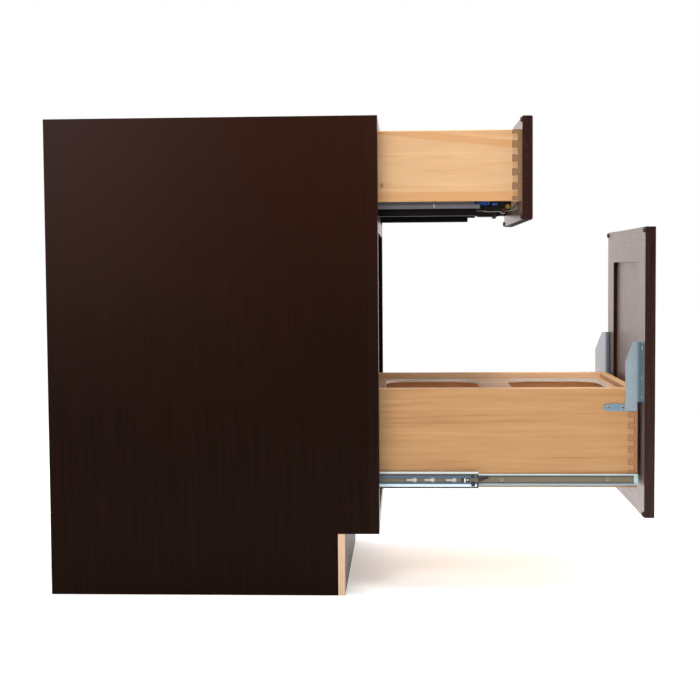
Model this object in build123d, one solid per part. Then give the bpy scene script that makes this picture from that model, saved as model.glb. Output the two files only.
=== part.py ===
from build123d import *

import os
from dataclasses import dataclass

# Framed base cabinet with a drawer above a two-bin pull-out, in millimetres.
#
# The cabinet stands on the floor with its back to a wall. +Z is up, +X is to the right of someone facing its
# front, and the front faces -Y. The origin is where the middle of the back meets the floor. Every piece is drawn
# where it is with the drawer and the pull-out closed, then moved out along -Y to where it is stored, partly open.

INCH = 25.4

# Cabinet box
WIDTH = 18 * INCH
DEPTH = 24 * INCH
HEIGHT = 34.5 * INCH
PLY = 0.5 * INCH
TOE_HEIGHT = 4.5 * INCH
TOE_NOTCH = 3 * INCH
DADO = 6.0
HALF = WIDTH / 2
INNER = HALF - PLY
NAILER_T = 0.75 * INCH
NAILER_HEIGHT = 2.5 * INCH
CORNER_LEG = 78.0
CORNER_CLIPPED = 16.0
WORKTOP_HOLE_R = 3.0
WORKTOP_HOLE_INSET = 26.0

# Face frame
FRAME_T = 0.75 * INCH
STILE = 1.5 * INCH
TOP_RAIL = 0.75 * INCH
MIDDLE_RAIL = 1.0 * INCH
BOTTOM_RAIL = 1.25 * INCH
DOOR_OPENING = 20.5 * INCH
TENON = 10.0
TENON_T = 6.35
TENON_SHOULDER = 3.0
FRAME_FRONT = -DEPTH
FRAME_BACK = -DEPTH + FRAME_T
OPENING = HALF - STILE
BOTTOM_RAIL_TOP = TOE_HEIGHT + BOTTOM_RAIL
MIDDLE_RAIL_LOW = BOTTOM_RAIL_TOP + DOOR_OPENING
MIDDLE_RAIL_TOP = MIDDLE_RAIL_LOW + MIDDLE_RAIL

# Fronts
FRONT_T = 0.75 * INCH
FRONT_HALF = 8 * INCH
BUMPER_R = 4.8
BUMPER_T = 3.2
FRONT_BACK = FRAME_FRONT - BUMPER_T - 0.2
DOOR_LOW = 5.5 * INCH
DOOR_TOP = 26.5 * INCH
DRAWER_FRONT_LOW = DOOR_TOP + 14.3
DRAWER_FRONT_TOP = HEIGHT - 0.8
EASED_EDGE = 1.2
SLAB_CHAMFER = 2.2
DOOR_STILE = 2.75 * INCH
DOOR_RAIL = 2.5 * INCH
PANEL_T = 6.35
PANEL_BACK_RECESS = 7.2
PANEL_GROOVE = 9.0
PANEL_PLAY = 1.0

# Dovetailed boxes
BOARD = 0.625 * INCH
LAP = 5.5
BOX_LENGTH = 21 * INCH
BOX_GROOVE = 6.0
TOP_EDGE_R = 2.0
DRAWER_HALF = OPENING - 5.0
DRAWER_LOW = 723.0
DRAWER_TOP = 853.0
DRAWER_TAIL_PITCH = 1.0 * INCH
DRAWER_BOTTOM_T = 6.35
DRAWER_BOTTOM_LOW = DRAWER_LOW + 12.5
PULL_HALF = OPENING - 0.5 * INCH
PULL_STANDOFF = 8.0
PULL_LOW = 192.0
PULL_TOP = 377.0
PULL_TAIL_PITCH = 0.875 * INCH
PULL_BOTTOM_T = 9.0
PULL_BOTTOM_LOW = PULL_LOW + 10.0
PLATFORM_T = 0.25 * INCH
PLATFORM_TOP = PULL_TOP - 11.0
BIN_LENGTH = 190.0
BIN_HALF_WIDTH = 138.0
BIN_CORNER_R = 50.0
BIN_BRIDGE = 58.0
BIN_FRONT_MARGIN = 14.0

# Ball-bearing slides of the pull-out. The lateral steps count from the spacer towards the box.
SLIDE_STEEL = 1.2
SLIDE_Z = PULL_LOW + 14.6
SLIDE_DEPTH = 0.5 * INCH
OUTER_HALF = 19.2
MIDDLE_HALF = 15.2
INNER_HALF = 10.5
OUTER_LIP = 10.2
MIDDLE_WEB = 2.3
MIDDLE_BEAD = 1.2
MIDDLE_LIP = 10.9
INNER_LIP = 6.0
OUTER_FRONT = FRAME_FRONT + 2
MIDDLE_FRONT = FRAME_FRONT + 4
MIDDLE_LENGTH = 500.0
BALL_R = 1.0
CAGE_T = 0.5
CAGE_BALL_PITCH = 18.0
OUTER_CAGE = (-450.0, -270.0)
INNER_CAGE = (-435.0, -250.0)
SPACER_HALF_HEIGHT = 30.0
LEVER_Y = FRONT_BACK + 308.0
LEVER_LENGTH = 25.5
MEMBER_SCREW = 9.5

# Undermount runners of the drawer, each centred under the drawer bottom beside a drawer side
RUNNER_STEEL = 1.5
RUNNER_HALF = 18.0
RUNNER_X = DRAWER_HALF - BOARD - RUNNER_HALF - 1.0
RUNNER_LOW = MIDDLE_RAIL_TOP + 1.35
RUNNER_CABINET_TOP = RUNNER_LOW + 14.0
RUNNER_MIDDLE_HALF = 13.5
RUNNER_MIDDLE_LOW = RUNNER_LOW + 3.8
RUNNER_MIDDLE_TOP = DRAWER_BOTTOM_LOW - 5
RUNNER_DRAWER_LOW = RUNNER_CABINET_TOP + 2.7
RUNNER_LIP_TOP = RUNNER_DRAWER_LOW + 7.3
RUNNER_LIP_T = 1.2
RUNNER_CABINET_FRONT = FRAME_FRONT + 2
RUNNER_CABINET_BACK = -30.0
RUNNER_MIDDLE_FRONT = FRONT_BACK + BOARD + 1.1
RUNNER_MIDDLE_LENGTH = 500.0
RUNNER_TONGUE = 15.5
RUNNER_TONGUE_Z = (706.0, 709.0)
RUNNER_DRAWER_FRONT = FRONT_BACK + 75
RUNNER_WINDOW = 9.5
RUNNER_DRAWER_BACK = -60.0
RUNNER_BALL_R = 1.2
LOWER_CAGE = (-400.0, -300.0)
UPPER_CAGE = (-500.0, -280.0)

# Locking clips of the drawer. Outlines are (distance behind the drawer front, height).
CLIP_WIDTH = 28.0
CLIP_LOW = 706.0
CLIP_UNDER_BOX = DRAWER_LOW - 0.4
CLIP_OUTLINE = [
    (1, CLIP_UNDER_BOX),
    (1, CLIP_LOW + 3),
    (4, CLIP_LOW + 1.5),
    (16, CLIP_LOW + 2),
    (25, CLIP_LOW),
    (25, CLIP_LOW - 3.5),
    (31, CLIP_LOW - 3.5),
    (33, CLIP_LOW),
    (60, CLIP_LOW),
    (72, CLIP_LOW + 4),
    (74, CLIP_LOW + 12),
    (101, DRAWER_LOW),
    (101, DRAWER_BOTTOM_LOW),
    (1, DRAWER_BOTTOM_LOW),
]
CLIP_BOX_FRONT_ROOM = (FRONT_BACK - 1, FRONT_BACK + BOARD + 0.2, CLIP_UNDER_BOX, DRAWER_TOP)
CLIP_WHEEL = (20.6, 715.0)
CLIP_WHEEL_R = 4.5
CLIP_PIVOT = (60.0, 721.0)
CLIP_LEVER_OUTLINE = [(54.6, 718), (54.6, 724), (66, 725), (83.6, 722.5), (83.6, 718.5), (66, 717.5)]
CLIP_LEVER_ROOM_FRONT = 53.0
CLIP_LEVER_ROOM_LOW = 715.8
CLIP_LEVER_WIDTH = 17.0

# Door brackets. Distances along Y count from the back of the door.
BRACKET_T = 2.0
BRACKET_LOW = 334.5
BRACKET_TOP = 462.0
BRACKET_ARM_HEIGHT = 13.0
BRACKET_ARM_LENGTH = 70.0
BRACKET_ARM_SCREWS = (36.0, 62.5)
BRACKET_PLATE = (9.0, 31.0)
BRACKET_TOP_WIDTH = 17.0
BRACKET_SLOPE_LOW = 425.0
BRACKET_BEND_R = 2.6
BRACKET_FLANGE = 9.0
BRACKET_FLANGE_LOW = 351.0
BRACKET_DOOR_SCREWS = (360.5, 395.6, 451.0)
BRACKET_SPARE_HOLES = (379.0, 432.5)
BRACKET_SCREW = 12.0

# Where the moving pieces are stored, as travel out of the closed cabinet
DRAWER_OUT = 259.5
PULL_OUT = 481.5
DRAWER_MIDDLE_SHARE = 0.75
PULL_MIDDLE_SHARE = 0.389


@dataclass
class BoxPlan:
    """The outside of a dovetailed box in its closed place. Its back board starts at back_low."""

    half: float
    low: float
    high: float
    front: float
    pitch: float
    back_low: float

    @property
    def back(self):
        return self.front + BOX_LENGTH

    @property
    def inside(self):
        """Half the width between the bottoms of the grooves in the two sides."""
        return self.half - BOARD + BOX_GROOVE


DRAWER = BoxPlan(
    DRAWER_HALF, DRAWER_LOW, DRAWER_TOP, FRONT_BACK, DRAWER_TAIL_PITCH, DRAWER_BOTTOM_LOW + DRAWER_BOTTOM_T
)
PULL = BoxPlan(PULL_HALF, PULL_LOW, PULL_TOP, FRONT_BACK + PULL_STANDOFF, PULL_TAIL_PITCH, PULL_LOW)


def block(x0, x1, y0, y1, z0, z1):
    """A box between two corners."""
    return Pos(x0, y0, z0) * Box(x1 - x0, y1 - y0, z1 - z0, align=(Align.MIN, Align.MIN, Align.MIN))


def slab_yz(points, x0, x1):
    """A prism along X from an outline of (y, z) points."""
    outline = Polyline(*[Vector(x0, y, z) for y, z in points], close=True)
    return extrude(make_face(outline), amount=x1 - x0, dir=(1, 0, 0))


def rod(radius, start, end):
    """A round bar from one point to another."""
    start, end = Vector(*start), Vector(*end)
    axis = end - start
    return Plane(origin=start, z_dir=axis) * Cylinder(
        radius, axis.length, align=(Align.CENTER, Align.CENTER, Align.MIN)
    )


def screw(seat, direction, length, head_r=3.6, head_t=1.8, shank_r=1.7):
    """A pan-head screw whose head sits on the point seat and whose shank runs along direction."""
    seat, direction = Vector(*seat), Vector(*direction).normalized()
    head = rod(head_r, tuple(seat - direction * head_t), tuple(seat))
    head = chamfer(head.edges().sort_by(Axis(tuple(seat), tuple(direction)))[0], 0.7)
    return head + rod(shank_r, tuple(seat), tuple(seat + direction * length))


def pilot(seat, direction, length, shank_r=1.7):
    """The hole that a screw's shank runs in, with a little play."""
    seat, direction = Vector(*seat), Vector(*direction).normalized()
    return rod(shank_r + 0.1, tuple(seat - direction * 3), tuple(seat + direction * (length + 0.5)))


def pair(shape):
    """A left-hand piece and its mirror image."""
    return shape, mirror(shape, about=Plane.YZ)


def write(name, shapes, out=0.0):
    """Writes one node, moved out of the closed cabinet by its stored travel."""
    solids = [Pos(0, -out, 0) * s for shape in shapes for s in shape.solids()]
    export_step(solids[0] if len(solids) == 1 else Compound(children=solids), f"parts/{name}.step")


def write_pair(name, shape, out=0.0):
    """Writes a left-hand piece and its mirror image as two nodes."""
    for side, solid in zip(("left", "right"), pair(shape), strict=True):
        write(f"{name}_{side}", [solid], out)


# Cabinet box


def side_panel():
    """The left side, notched for the toe kick and grooved for the deck."""
    notch = -DEPTH + TOE_NOTCH
    toe = [(0, 0), (notch, 0), (notch, TOE_HEIGHT), (FRAME_BACK, TOE_HEIGHT)]
    outline = [*toe, (FRAME_BACK, HEIGHT), (0, HEIGHT)]
    panel = slab_yz(outline, -HALF, -INNER)
    deck_groove = block(-INNER - DADO, -INNER, FRAME_BACK, -PLY, BOTTOM_RAIL_TOP - PLY, BOTTOM_RAIL_TOP)
    return panel - deck_groove


def corner_block(y_outer, inward):
    """A top corner block of the left side, with the screw hole for a worktop. inward is +1 or -1 along Y."""
    x0 = -INNER
    outline = Polyline(
        (x0, y_outer, 0),
        (x0 + CORNER_LEG, y_outer, 0),
        (x0 + CORNER_LEG, y_outer + inward * CORNER_CLIPPED, 0),
        (x0 + CORNER_CLIPPED, y_outer + inward * CORNER_LEG, 0),
        (x0, y_outer + inward * CORNER_LEG, 0),
        close=True,
    )
    low = HEIGHT - PLY
    plate = Pos(0, 0, low) * extrude(make_face(outline), amount=PLY, dir=(0, 0, 1))
    hole_x, hole_y = x0 + WORKTOP_HOLE_INSET, y_outer + inward * WORKTOP_HOLE_INSET
    return plate - rod(WORKTOP_HOLE_R, (hole_x, hole_y, low - 1), (hole_x, hole_y, HEIGHT + 1))


def build_cabinet_box():
    write_pair("side_panel", side_panel())
    write("back_panel", [block(-INNER, INNER, -PLY, 0, 0, HEIGHT)])
    deck = block(-INNER - DADO, INNER + DADO, FRAME_BACK, -PLY, BOTTOM_RAIL_TOP - PLY, BOTTOM_RAIL_TOP)
    write("deck_panel", [deck])
    toe_back = -DEPTH + TOE_NOTCH
    write("toe_kick_board", [block(-HALF, HALF, toe_back - PLY, toe_back, 0, TOE_HEIGHT - 0.3)])
    nailer_back = -PLY - NAILER_T
    write("rear_nailer", [block(-INNER, INNER, nailer_back, -PLY, HEIGHT - NAILER_HEIGHT, HEIGHT)])
    front_block, rear_block = corner_block(FRAME_BACK, 1), corner_block(nailer_back, -1)
    write("corner_blocks", [*pair(front_block), *pair(rear_block)])


# Face frame


def stub_tenon(z0, z1):
    """The tongue that a rail's left end leaves in the left stile."""
    middle = (FRAME_FRONT + FRAME_BACK) / 2
    return block(
        -OPENING - TENON,
        -OPENING,
        middle - TENON_T / 2,
        middle + TENON_T / 2,
        z0 + TENON_SHOULDER,
        z1 - TENON_SHOULDER,
    )


def build_face_frame():
    rails = {
        "bottom": (TOE_HEIGHT, BOTTOM_RAIL_TOP),
        "middle": (MIDDLE_RAIL_LOW, MIDDLE_RAIL_TOP),
        "top": (HEIGHT - TOP_RAIL, HEIGHT),
    }
    stile = block(-HALF, -OPENING, FRAME_FRONT, FRAME_BACK, TOE_HEIGHT, HEIGHT)
    outer_front_edge = stile.edges().filter_by(Axis.Z).group_by(Axis.Y)[0].sort_by(Axis.X)[0]
    stile = chamfer(outer_front_edge, 0.6)
    for name, (z0, z1) in rails.items():
        left, right = pair(stub_tenon(z0, z1))
        stile -= left
        rail = block(-OPENING, OPENING, FRAME_FRONT, FRAME_BACK, z0, z1)
        write(f"face_frame_{name}_rail", [rail + left + right])
    stile -= slide_tab_pilots()
    write_pair("face_frame_stile", stile)


# Dovetailed boxes


def tails(half, height, pitch, y_shoulder, y_tip):
    """The tails at one end of a box's left side: trapezoids in side view, wider at the tip."""
    low, high = height
    count = int((high - low) / pitch)
    first = (low + high) / 2 - pitch * (count - 1) / 2
    root, tip = 0.25 * pitch, 0.33 * pitch
    found = []
    for i in range(count):
        z = first + i * pitch
        outline = [(y_shoulder, z - root), (y_shoulder, z + root), (y_tip, z + tip), (y_tip, z - tip)]
        found.append(slab_yz(outline, -half, -half + BOARD))
    return found


def box_boards(plan):
    """The left side, front and back of a dovetailed box."""
    half, low, high = plan.half, plan.low, plan.high
    shoulders = plan.front + BOARD, plan.back - BOARD
    front_tails = tails(half, (low, high), plan.pitch, shoulders[0], plan.front + LAP)
    back_tails = tails(half, (plan.back_low, high), plan.pitch, shoulders[1], plan.back - LAP)
    side = block(-half, -half + BOARD, *shoulders, low, high)
    side = fillet(side.edges().filter_by(Axis.Y).group_by(Axis.Z)[-1], TOP_EDGE_R)
    boards = [
        block(-half, half, plan.front, shoulders[0], low, high),
        block(-half, half, shoulders[1], plan.back, plan.back_low, high),
    ]
    for i, cutters in enumerate((front_tails, back_tails)):
        boards[i] = fillet(boards[i].edges().filter_by(Axis.X).group_by(Axis.Z)[-1], TOP_EDGE_R)
        for left, right in map(pair, cutters):
            boards[i] -= left + right
    for tail in front_tails + back_tails:
        side += tail
    if plan.back_low > low:
        side += block(-half, -half + BOARD, shoulders[1], plan.back, low, plan.back_low)
    return side, *boards


def panel_extent(plan):
    """How far a panel in the grooves of a box's front and back reaches along Y."""
    return plan.front + BOARD - BOX_GROOVE, plan.back - BOARD + BOX_GROOVE


def grooved(board, plan, z0, z1):
    """A box board with the groove that a panel between z0 and z1 sits in."""
    return board - block(-plan.inside, plan.inside, *panel_extent(plan), z0, z1)


def build_drawer():
    panel = DRAWER_BOTTOM_LOW, DRAWER_BOTTOM_LOW + DRAWER_BOTTOM_T
    side, front, back = box_boards(DRAWER)
    inside = DRAWER.inside
    run_out = block(-inside, inside, DRAWER.back - BOARD, DRAWER.back + 1, *panel)
    side = grooved(side, DRAWER, *panel) - run_out
    front = grooved(front, DRAWER, *panel)
    bottom = block(-inside, inside, panel_extent(DRAWER)[0], DRAWER.back, *panel)

    height = DRAWER_FRONT_LOW, DRAWER_FRONT_TOP
    slab = block(-FRONT_HALF, FRONT_HALF, FRONT_BACK - FRONT_T, FRONT_BACK, *height)
    slab = chamfer(slab.faces().sort_by(Axis.Y)[0].edges(), SLAB_CHAMFER)
    slab = chamfer(slab.faces().sort_by(Axis.Y)[-1].edges(), EASED_EDGE)
    screws = []
    for x in (-110.0, 110.0):
        for z in (DRAWER_LOW + 38, DRAWER_TOP - 24):
            seat, towards, length = (x, FRONT_BACK + BOARD, z), (0, -1, 0), 26.0
            screws.append(screw(seat, towards, length))
            front -= pilot(seat, towards, length)
            slab -= pilot(seat, towards, length)
    write_pair("drawer_side", side, DRAWER_OUT)
    write("drawer_box_front", [front], DRAWER_OUT)
    write("drawer_box_back", [back], DRAWER_OUT)
    write("drawer_bottom", [bottom], DRAWER_OUT)
    write("drawer_front", [slab], DRAWER_OUT)
    write("drawer_front_screws", screws, DRAWER_OUT)
    write("drawer_front_bumpers", bumpers(DRAWER_FRONT_LOW, DRAWER_FRONT_TOP), DRAWER_OUT)


def bumpers(low, high):
    """Four soft dots at the corners of a front's back face, where it meets the face frame."""
    inset = BUMPER_R + 1.2
    found = []
    for x in (-FRONT_HALF + inset, FRONT_HALF - inset):
        for z in (low + inset, high - inset):
            dot = rod(BUMPER_R, (x, FRONT_BACK, z), (x, FRONT_BACK + BUMPER_T, z))
            rim = dot.edges().filter_by(GeomType.CIRCLE).sort_by(Axis.Y)[-1]
            found.append(fillet(rim, BUMPER_T * 0.6))
    return found


def build_pullout_box():
    panel = PULL_BOTTOM_LOW, PULL_BOTTOM_LOW + PULL_BOTTOM_T
    shelf = PLATFORM_TOP - PLATFORM_T, PLATFORM_TOP
    side, front, back = (grooved(grooved(b, PULL, *panel), PULL, *shelf) for b in box_boards(PULL))
    for seat in bracket_arm_seats():
        side -= pilot(seat, (1, 0, 0), BRACKET_SCREW)
    for seat in inner_member_screw_seats():
        side -= pilot(seat, (1, 0, 0), MEMBER_SCREW)
    bottom = block(-PULL.inside, PULL.inside, *panel_extent(PULL), *panel)
    platform = block(-PULL.inside, PULL.inside, *panel_extent(PULL), *shelf)
    first = PULL.front + BOARD + BIN_FRONT_MARGIN
    for y0 in (first, first + BIN_LENGTH + BIN_BRIDGE):
        well = block(-BIN_HALF_WIDTH, BIN_HALF_WIDTH, y0, y0 + BIN_LENGTH, shelf[0] - 1, shelf[1] + 1)
        platform -= fillet(well.edges().filter_by(Axis.Z), BIN_CORNER_R)
    write_pair("pullout_side", side, PULL_OUT)
    write("pullout_front_board", [front], PULL_OUT)
    write("pullout_back_board", [back], PULL_OUT)
    write("pullout_bottom", [bottom], PULL_OUT)
    write("bin_platform", [platform], PULL_OUT)


# Door


def build_door():
    front = FRONT_BACK - FRONT_T
    panel_y = FRONT_BACK - PANEL_BACK_RECESS - PANEL_T, FRONT_BACK - PANEL_BACK_RECESS
    inner_x = FRONT_HALF - DOOR_STILE
    inner_z = DOOR_LOW + DOOR_RAIL, DOOR_TOP - DOOR_RAIL
    reach = PANEL_GROOVE - PANEL_PLAY
    panel = block(-inner_x - reach, inner_x + reach, *panel_y, inner_z[0] - reach, inner_z[1] + reach)
    room = block(
        -inner_x - PANEL_GROOVE,
        inner_x + PANEL_GROOVE,
        *panel_y,
        inner_z[0] - PANEL_GROOVE,
        inner_z[1] + PANEL_GROOVE,
    )
    groove_run = block(-inner_x - PANEL_GROOVE, -inner_x, *panel_y, DOOR_LOW, DOOR_TOP)
    stile = block(-FRONT_HALF, -inner_x, front, FRONT_BACK, DOOR_LOW, DOOR_TOP)
    stile = chamfer(stile.edges().filter_by(Axis.Z).group_by(Axis.X)[0], EASED_EDGE) - groove_run
    for seat in bracket_flange_places(BRACKET_DOOR_SCREWS):
        stile -= pilot(seat, (0, -1, 0), BRACKET_SCREW)
    for name, (z0, z1), outer in (
        ("bottom", (DOOR_LOW, inner_z[0]), 0),
        ("top", (inner_z[1], DOOR_TOP), -1),
    ):
        rail = block(-inner_x, inner_x, front, FRONT_BACK, z0, z1)
        rail = chamfer(rail.edges().filter_by(Axis.X).group_by(Axis.Z)[outer], EASED_EDGE) - room
        tongue_z = (z0, z1 - PANEL_GROOVE) if outer == 0 else (z0 + PANEL_GROOVE, z1)
        left, right = pair(block(-inner_x - reach, -inner_x, *panel_y, *tongue_z))
        write(f"door_{name}_rail", [rail + left + right], PULL_OUT)
    write_pair("door_stile", stile, PULL_OUT)
    write("door_panel", [panel], PULL_OUT)
    write("door_bumpers", bumpers(DOOR_LOW, DOOR_TOP), PULL_OUT)


def bracket_arm_seats():
    """Where the screws sit that hold the left bracket's arm to the box side."""
    z = BRACKET_LOW + BRACKET_ARM_HEIGHT / 2
    return [(-PULL_HALF - BRACKET_T, FRONT_BACK + y, z) for y in BRACKET_ARM_SCREWS]


def bracket_flange_places(heights):
    """Places for screws or holes on the left bracket's flange, on its side away from the door."""
    x = -PULL_HALF - BRACKET_T - BRACKET_FLANGE + 3.4
    return [(x, FRONT_BACK + BRACKET_T, z) for z in heights]


def bracket_plate():
    """The flat part of the left bracket, against the box side, with its arm."""
    front, back = BRACKET_PLATE
    arm_top = BRACKET_LOW + BRACKET_ARM_HEIGHT
    outline = [
        (front, BRACKET_LOW),
        (BRACKET_ARM_LENGTH, BRACKET_LOW),
        (BRACKET_ARM_LENGTH, arm_top),
        (back, arm_top),
        (back, BRACKET_SLOPE_LOW),
        (BRACKET_TOP_WIDTH, BRACKET_TOP),
        (front, BRACKET_TOP),
    ]
    plate = slab_yz([(FRONT_BACK + y, z) for y, z in outline], -PULL_HALF - BRACKET_T, -PULL_HALF)
    return fillet(plate.edges().filter_by(Axis.X).group_by(Axis.Y)[-1], BRACKET_ARM_HEIGHT * 0.48)


def bracket_flange():
    """The left bracket's bend and the flange that lies on the door."""
    outer = -PULL_HALF - BRACKET_T
    turn = FRONT_BACK + BRACKET_T + BRACKET_BEND_R
    low, high = BRACKET_FLANGE_LOW, BRACKET_TOP
    neck = block(outer, -PULL_HALF, turn, FRONT_BACK + BRACKET_PLATE[0], low, high)
    centre = outer - BRACKET_BEND_R
    bend = rod(BRACKET_BEND_R + BRACKET_T, (centre, turn, low), (centre, turn, high))
    bend -= rod(BRACKET_BEND_R, (centre, turn, low - 1), (centre, turn, high + 1))
    bend &= block(centre, -PULL_HALF, FRONT_BACK, turn, low, high)
    flange = block(outer - BRACKET_FLANGE, centre, FRONT_BACK, FRONT_BACK + BRACKET_T, low, high)
    return neck + bend + fillet(flange.edges().filter_by(Axis.Y).group_by(Axis.X)[0], 3.0)


def build_brackets():
    bracket = bracket_plate() + bracket_flange()
    screws = []
    for seats, towards in (
        (bracket_arm_seats(), (1, 0, 0)),
        (bracket_flange_places(BRACKET_DOOR_SCREWS), (0, -1, 0)),
    ):
        for seat in seats:
            bracket -= pilot(seat, towards, BRACKET_SCREW)
            screws += pair(screw(seat, towards, BRACKET_SCREW, head_r=2.9, head_t=1.2))
    for x, y, z in bracket_flange_places(BRACKET_SPARE_HOLES):
        bracket -= rod(2.2, (x, y, z), (x, FRONT_BACK, z))
    write_pair("door_bracket", bracket, PULL_OUT)
    return screws


# Ball-bearing slides


def along(x0, x1, z0, z1, y0, y1):
    """A straight strip of a slide's section on the left side, x counted from the spacer towards the box."""
    return block(-OPENING + x0, -OPENING + x1, y0, y1, SLIDE_Z + z0, SLIDE_Z + z1)


def channel(half, web, lip, y0, y1):
    """A C-shaped steel channel open towards the box."""
    shape = along(web, web + SLIDE_STEEL, -half, half, y0, y1)
    shape += along(web, lip, half - SLIDE_STEEL, half, y0, y1)
    return shape + along(web, lip, -half, -half + SLIDE_STEEL, y0, y1)


def ball_places(extent):
    """The places along Y of the balls in a retainer."""
    y0, y1 = extent
    count = int((y1 - y0) / CAGE_BALL_PITCH)
    return [y0 + (y1 - y0) * (i + 0.5) / count for i in range(count)]


def cage(web, half, lip, extent):
    """A thin C-shaped ball retainer with its two rows of balls."""
    y0, y1 = extent
    strip = along(web, web + CAGE_T, -half, half, y0, y1)
    balls = []
    ball_x = -OPENING + (web + CAGE_T + lip) / 2
    for sign in (-1, 1):
        low, high = sorted((sign * half, sign * (half - CAGE_T)))
        strip += along(web, lip, low, high, y0, y1)
    for sign in (-1, 1):
        z = SLIDE_Z + sign * (half - CAGE_T / 2)
        for y in ball_places(extent):
            strip -= rod(BALL_R + 0.1, (ball_x, y, z - 1), (ball_x, y, z + 1))
            balls.append(Pos(ball_x, y, z) * Sphere(BALL_R))
    return [strip, *balls]


def inner_member_screw_seats():
    """Where the screws sit that hold the left inner member to the box side."""
    x = -PULL_HALF - SLIDE_STEEL
    return [(x, PULL.front + y, SLIDE_Z) for y in (54.0, 250.0, 470.0)]


def keyhole(y, x0, x1):
    """A round hole with a slot behind it, through a slide's web."""
    hole = rod(4.2, (-OPENING + x0, y, SLIDE_Z), (-OPENING + x1, y, SLIDE_Z))
    return hole + along(x0, x1, -2.0, 2.0, y, y + 15)


def build_slides():
    outer = channel(OUTER_HALF, 0, OUTER_LIP, OUTER_FRONT, OUTER_FRONT + BOX_LENGTH)
    spacer = along(-STILE + PLY, 0, -SPACER_HALF_HEIGHT, SPACER_HALF_HEIGHT, FRAME_BACK, -PLY)
    spacer = chamfer(spacer.edges().filter_by(Axis.Y).group_by(Axis.X)[-1], 1.0)
    outer_screws = []
    for y in (-570.0, -350.0, -110.0):
        seat = (-OPENING + SLIDE_STEEL, y, SLIDE_Z)
        outer -= rod(3.3, seat, (-OPENING, y, SLIDE_Z))
        spacer -= pilot(seat, (-1, 0, 0), 20.0)
        flat_head = rod(3.2, seat, (-OPENING, y, SLIDE_Z))
        outer_screws += pair(flat_head + rod(1.7, seat, (-OPENING - 18, y, SLIDE_Z)))

    middle = channel(MIDDLE_HALF, MIDDLE_WEB, MIDDLE_LIP, MIDDLE_FRONT, MIDDLE_FRONT + MIDDLE_LENGTH)
    bead_half = 6.0
    extent = MIDDLE_FRONT, MIDDLE_FRONT + MIDDLE_LENGTH
    middle += along(MIDDLE_WEB, MIDDLE_WEB + SLIDE_STEEL + MIDDLE_BEAD, -bead_half, bead_half, *extent)
    middle -= along(MIDDLE_WEB, MIDDLE_WEB + MIDDLE_BEAD, -bead_half + 1, bead_half - 1, *extent)
    for y in (45.0, 85.0, 118.0, 280.0, 400.0):
        middle -= keyhole(MIDDLE_FRONT + y, 0, 6)

    inner = along(SLIDE_DEPTH - SLIDE_STEEL, SLIDE_DEPTH, -INNER_HALF, INNER_HALF, PULL.front, PULL.back)
    for sign in (-1, 1):
        low, high = sorted((sign * INNER_HALF, sign * (INNER_HALF - SLIDE_STEEL)))
        inner += along(INNER_LIP, SLIDE_DEPTH, low, high, PULL.front, PULL.back)
    inner += along(INNER_LIP, SLIDE_DEPTH, -INNER_HALF, INNER_HALF, PULL.front, PULL.front + SLIDE_STEEL)
    inner_screws = []
    for seat in inner_member_screw_seats():
        inner -= pilot(seat, (1, 0, 0), MEMBER_SCREW)
        inner_screws += pair(screw(seat, (1, 0, 0), MEMBER_SCREW, head_r=3.2, head_t=1.2))
    pivot = (-PULL_HALF - SLIDE_STEEL, LEVER_Y, SLIDE_Z)
    inner += rod(1.4, pivot, (-OPENING + INNER_LIP + 0.6, LEVER_Y, SLIDE_Z))

    write("slide_spacer_rails", pair(spacer))
    write_pair("pullout_slide_outer", outer)
    write_pair("pullout_slide_middle", middle, PULL_OUT * PULL_MIDDLE_SHARE)
    write_pair("pullout_slide_inner", inner, PULL_OUT)
    outer_cage = cage(1.5, 16.9, 9.0, OUTER_CAGE)
    inner_cage = cage(5.0, 12.6, 10.2, INNER_CAGE)
    both = [s for shape in outer_cage for s in pair(shape)]
    write("slide_outer_ball_cages", both, PULL_OUT * PULL_MIDDLE_SHARE / 2)
    both = [s for shape in inner_cage for s in pair(shape)]
    write("slide_inner_ball_cages", both, PULL_OUT * (1 + PULL_MIDDLE_SHARE) / 2)
    return outer_screws, inner_screws


def build_release_levers():
    """The tongue that frees the pull-out from its slides. It turns on a pin of the inner member."""
    x0, x1 = -OPENING + 7.4, -OPENING + SLIDE_DEPTH - SLIDE_STEEL - 0.3
    front = LEVER_Y - LEVER_LENGTH
    outline = [
        (LEVER_Y + 5, SLIDE_Z - 2.8),
        (LEVER_Y + 5, SLIDE_Z + 2.8),
        (LEVER_Y - 8, SLIDE_Z + 2.6),
        (front, SLIDE_Z + 4.6),
        (front, SLIDE_Z + 2.8),
        (LEVER_Y - 10, SLIDE_Z - 2.6),
    ]
    lever = slab_yz(outline, x0, x1)
    lever -= rod(1.7, (x0 - 1, LEVER_Y, SLIDE_Z), (x1 + 1, LEVER_Y, SLIDE_Z))
    write_pair("pullout_release_lever", lever, PULL_OUT)


# Undermount runners


def runner_strip(u0, u1, z0, z1, y0, y1):
    """A strip of the left runner's section. u counts from the runner's middle towards the cabinet side."""
    return block(-RUNNER_X - u1, -RUNNER_X - u0, y0, y1, z0, z1)


def slide_tab_pilots():
    """The two screw holes in the left stile's inner edge that hold the runner's front tab."""
    y = (FRAME_FRONT + FRAME_BACK) / 2
    seat = (-OPENING + RUNNER_STEEL, y, RUNNER_LOW + 9)
    return pilot(seat, (-1, 0, 0), 14.0)


def trough(half, low, high, steel, floor_at, y0, y1):
    """A U-shaped runner channel. floor_at is "low" or "high"."""
    floor = (low, low + steel) if floor_at == "low" else (high - steel, high)
    shape = runner_strip(-half, half, *floor, y0, y1)
    shape += runner_strip(half - steel, half, low, high, y0, y1)
    return shape + runner_strip(-half, -half + steel, low, high, y0, y1)


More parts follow.
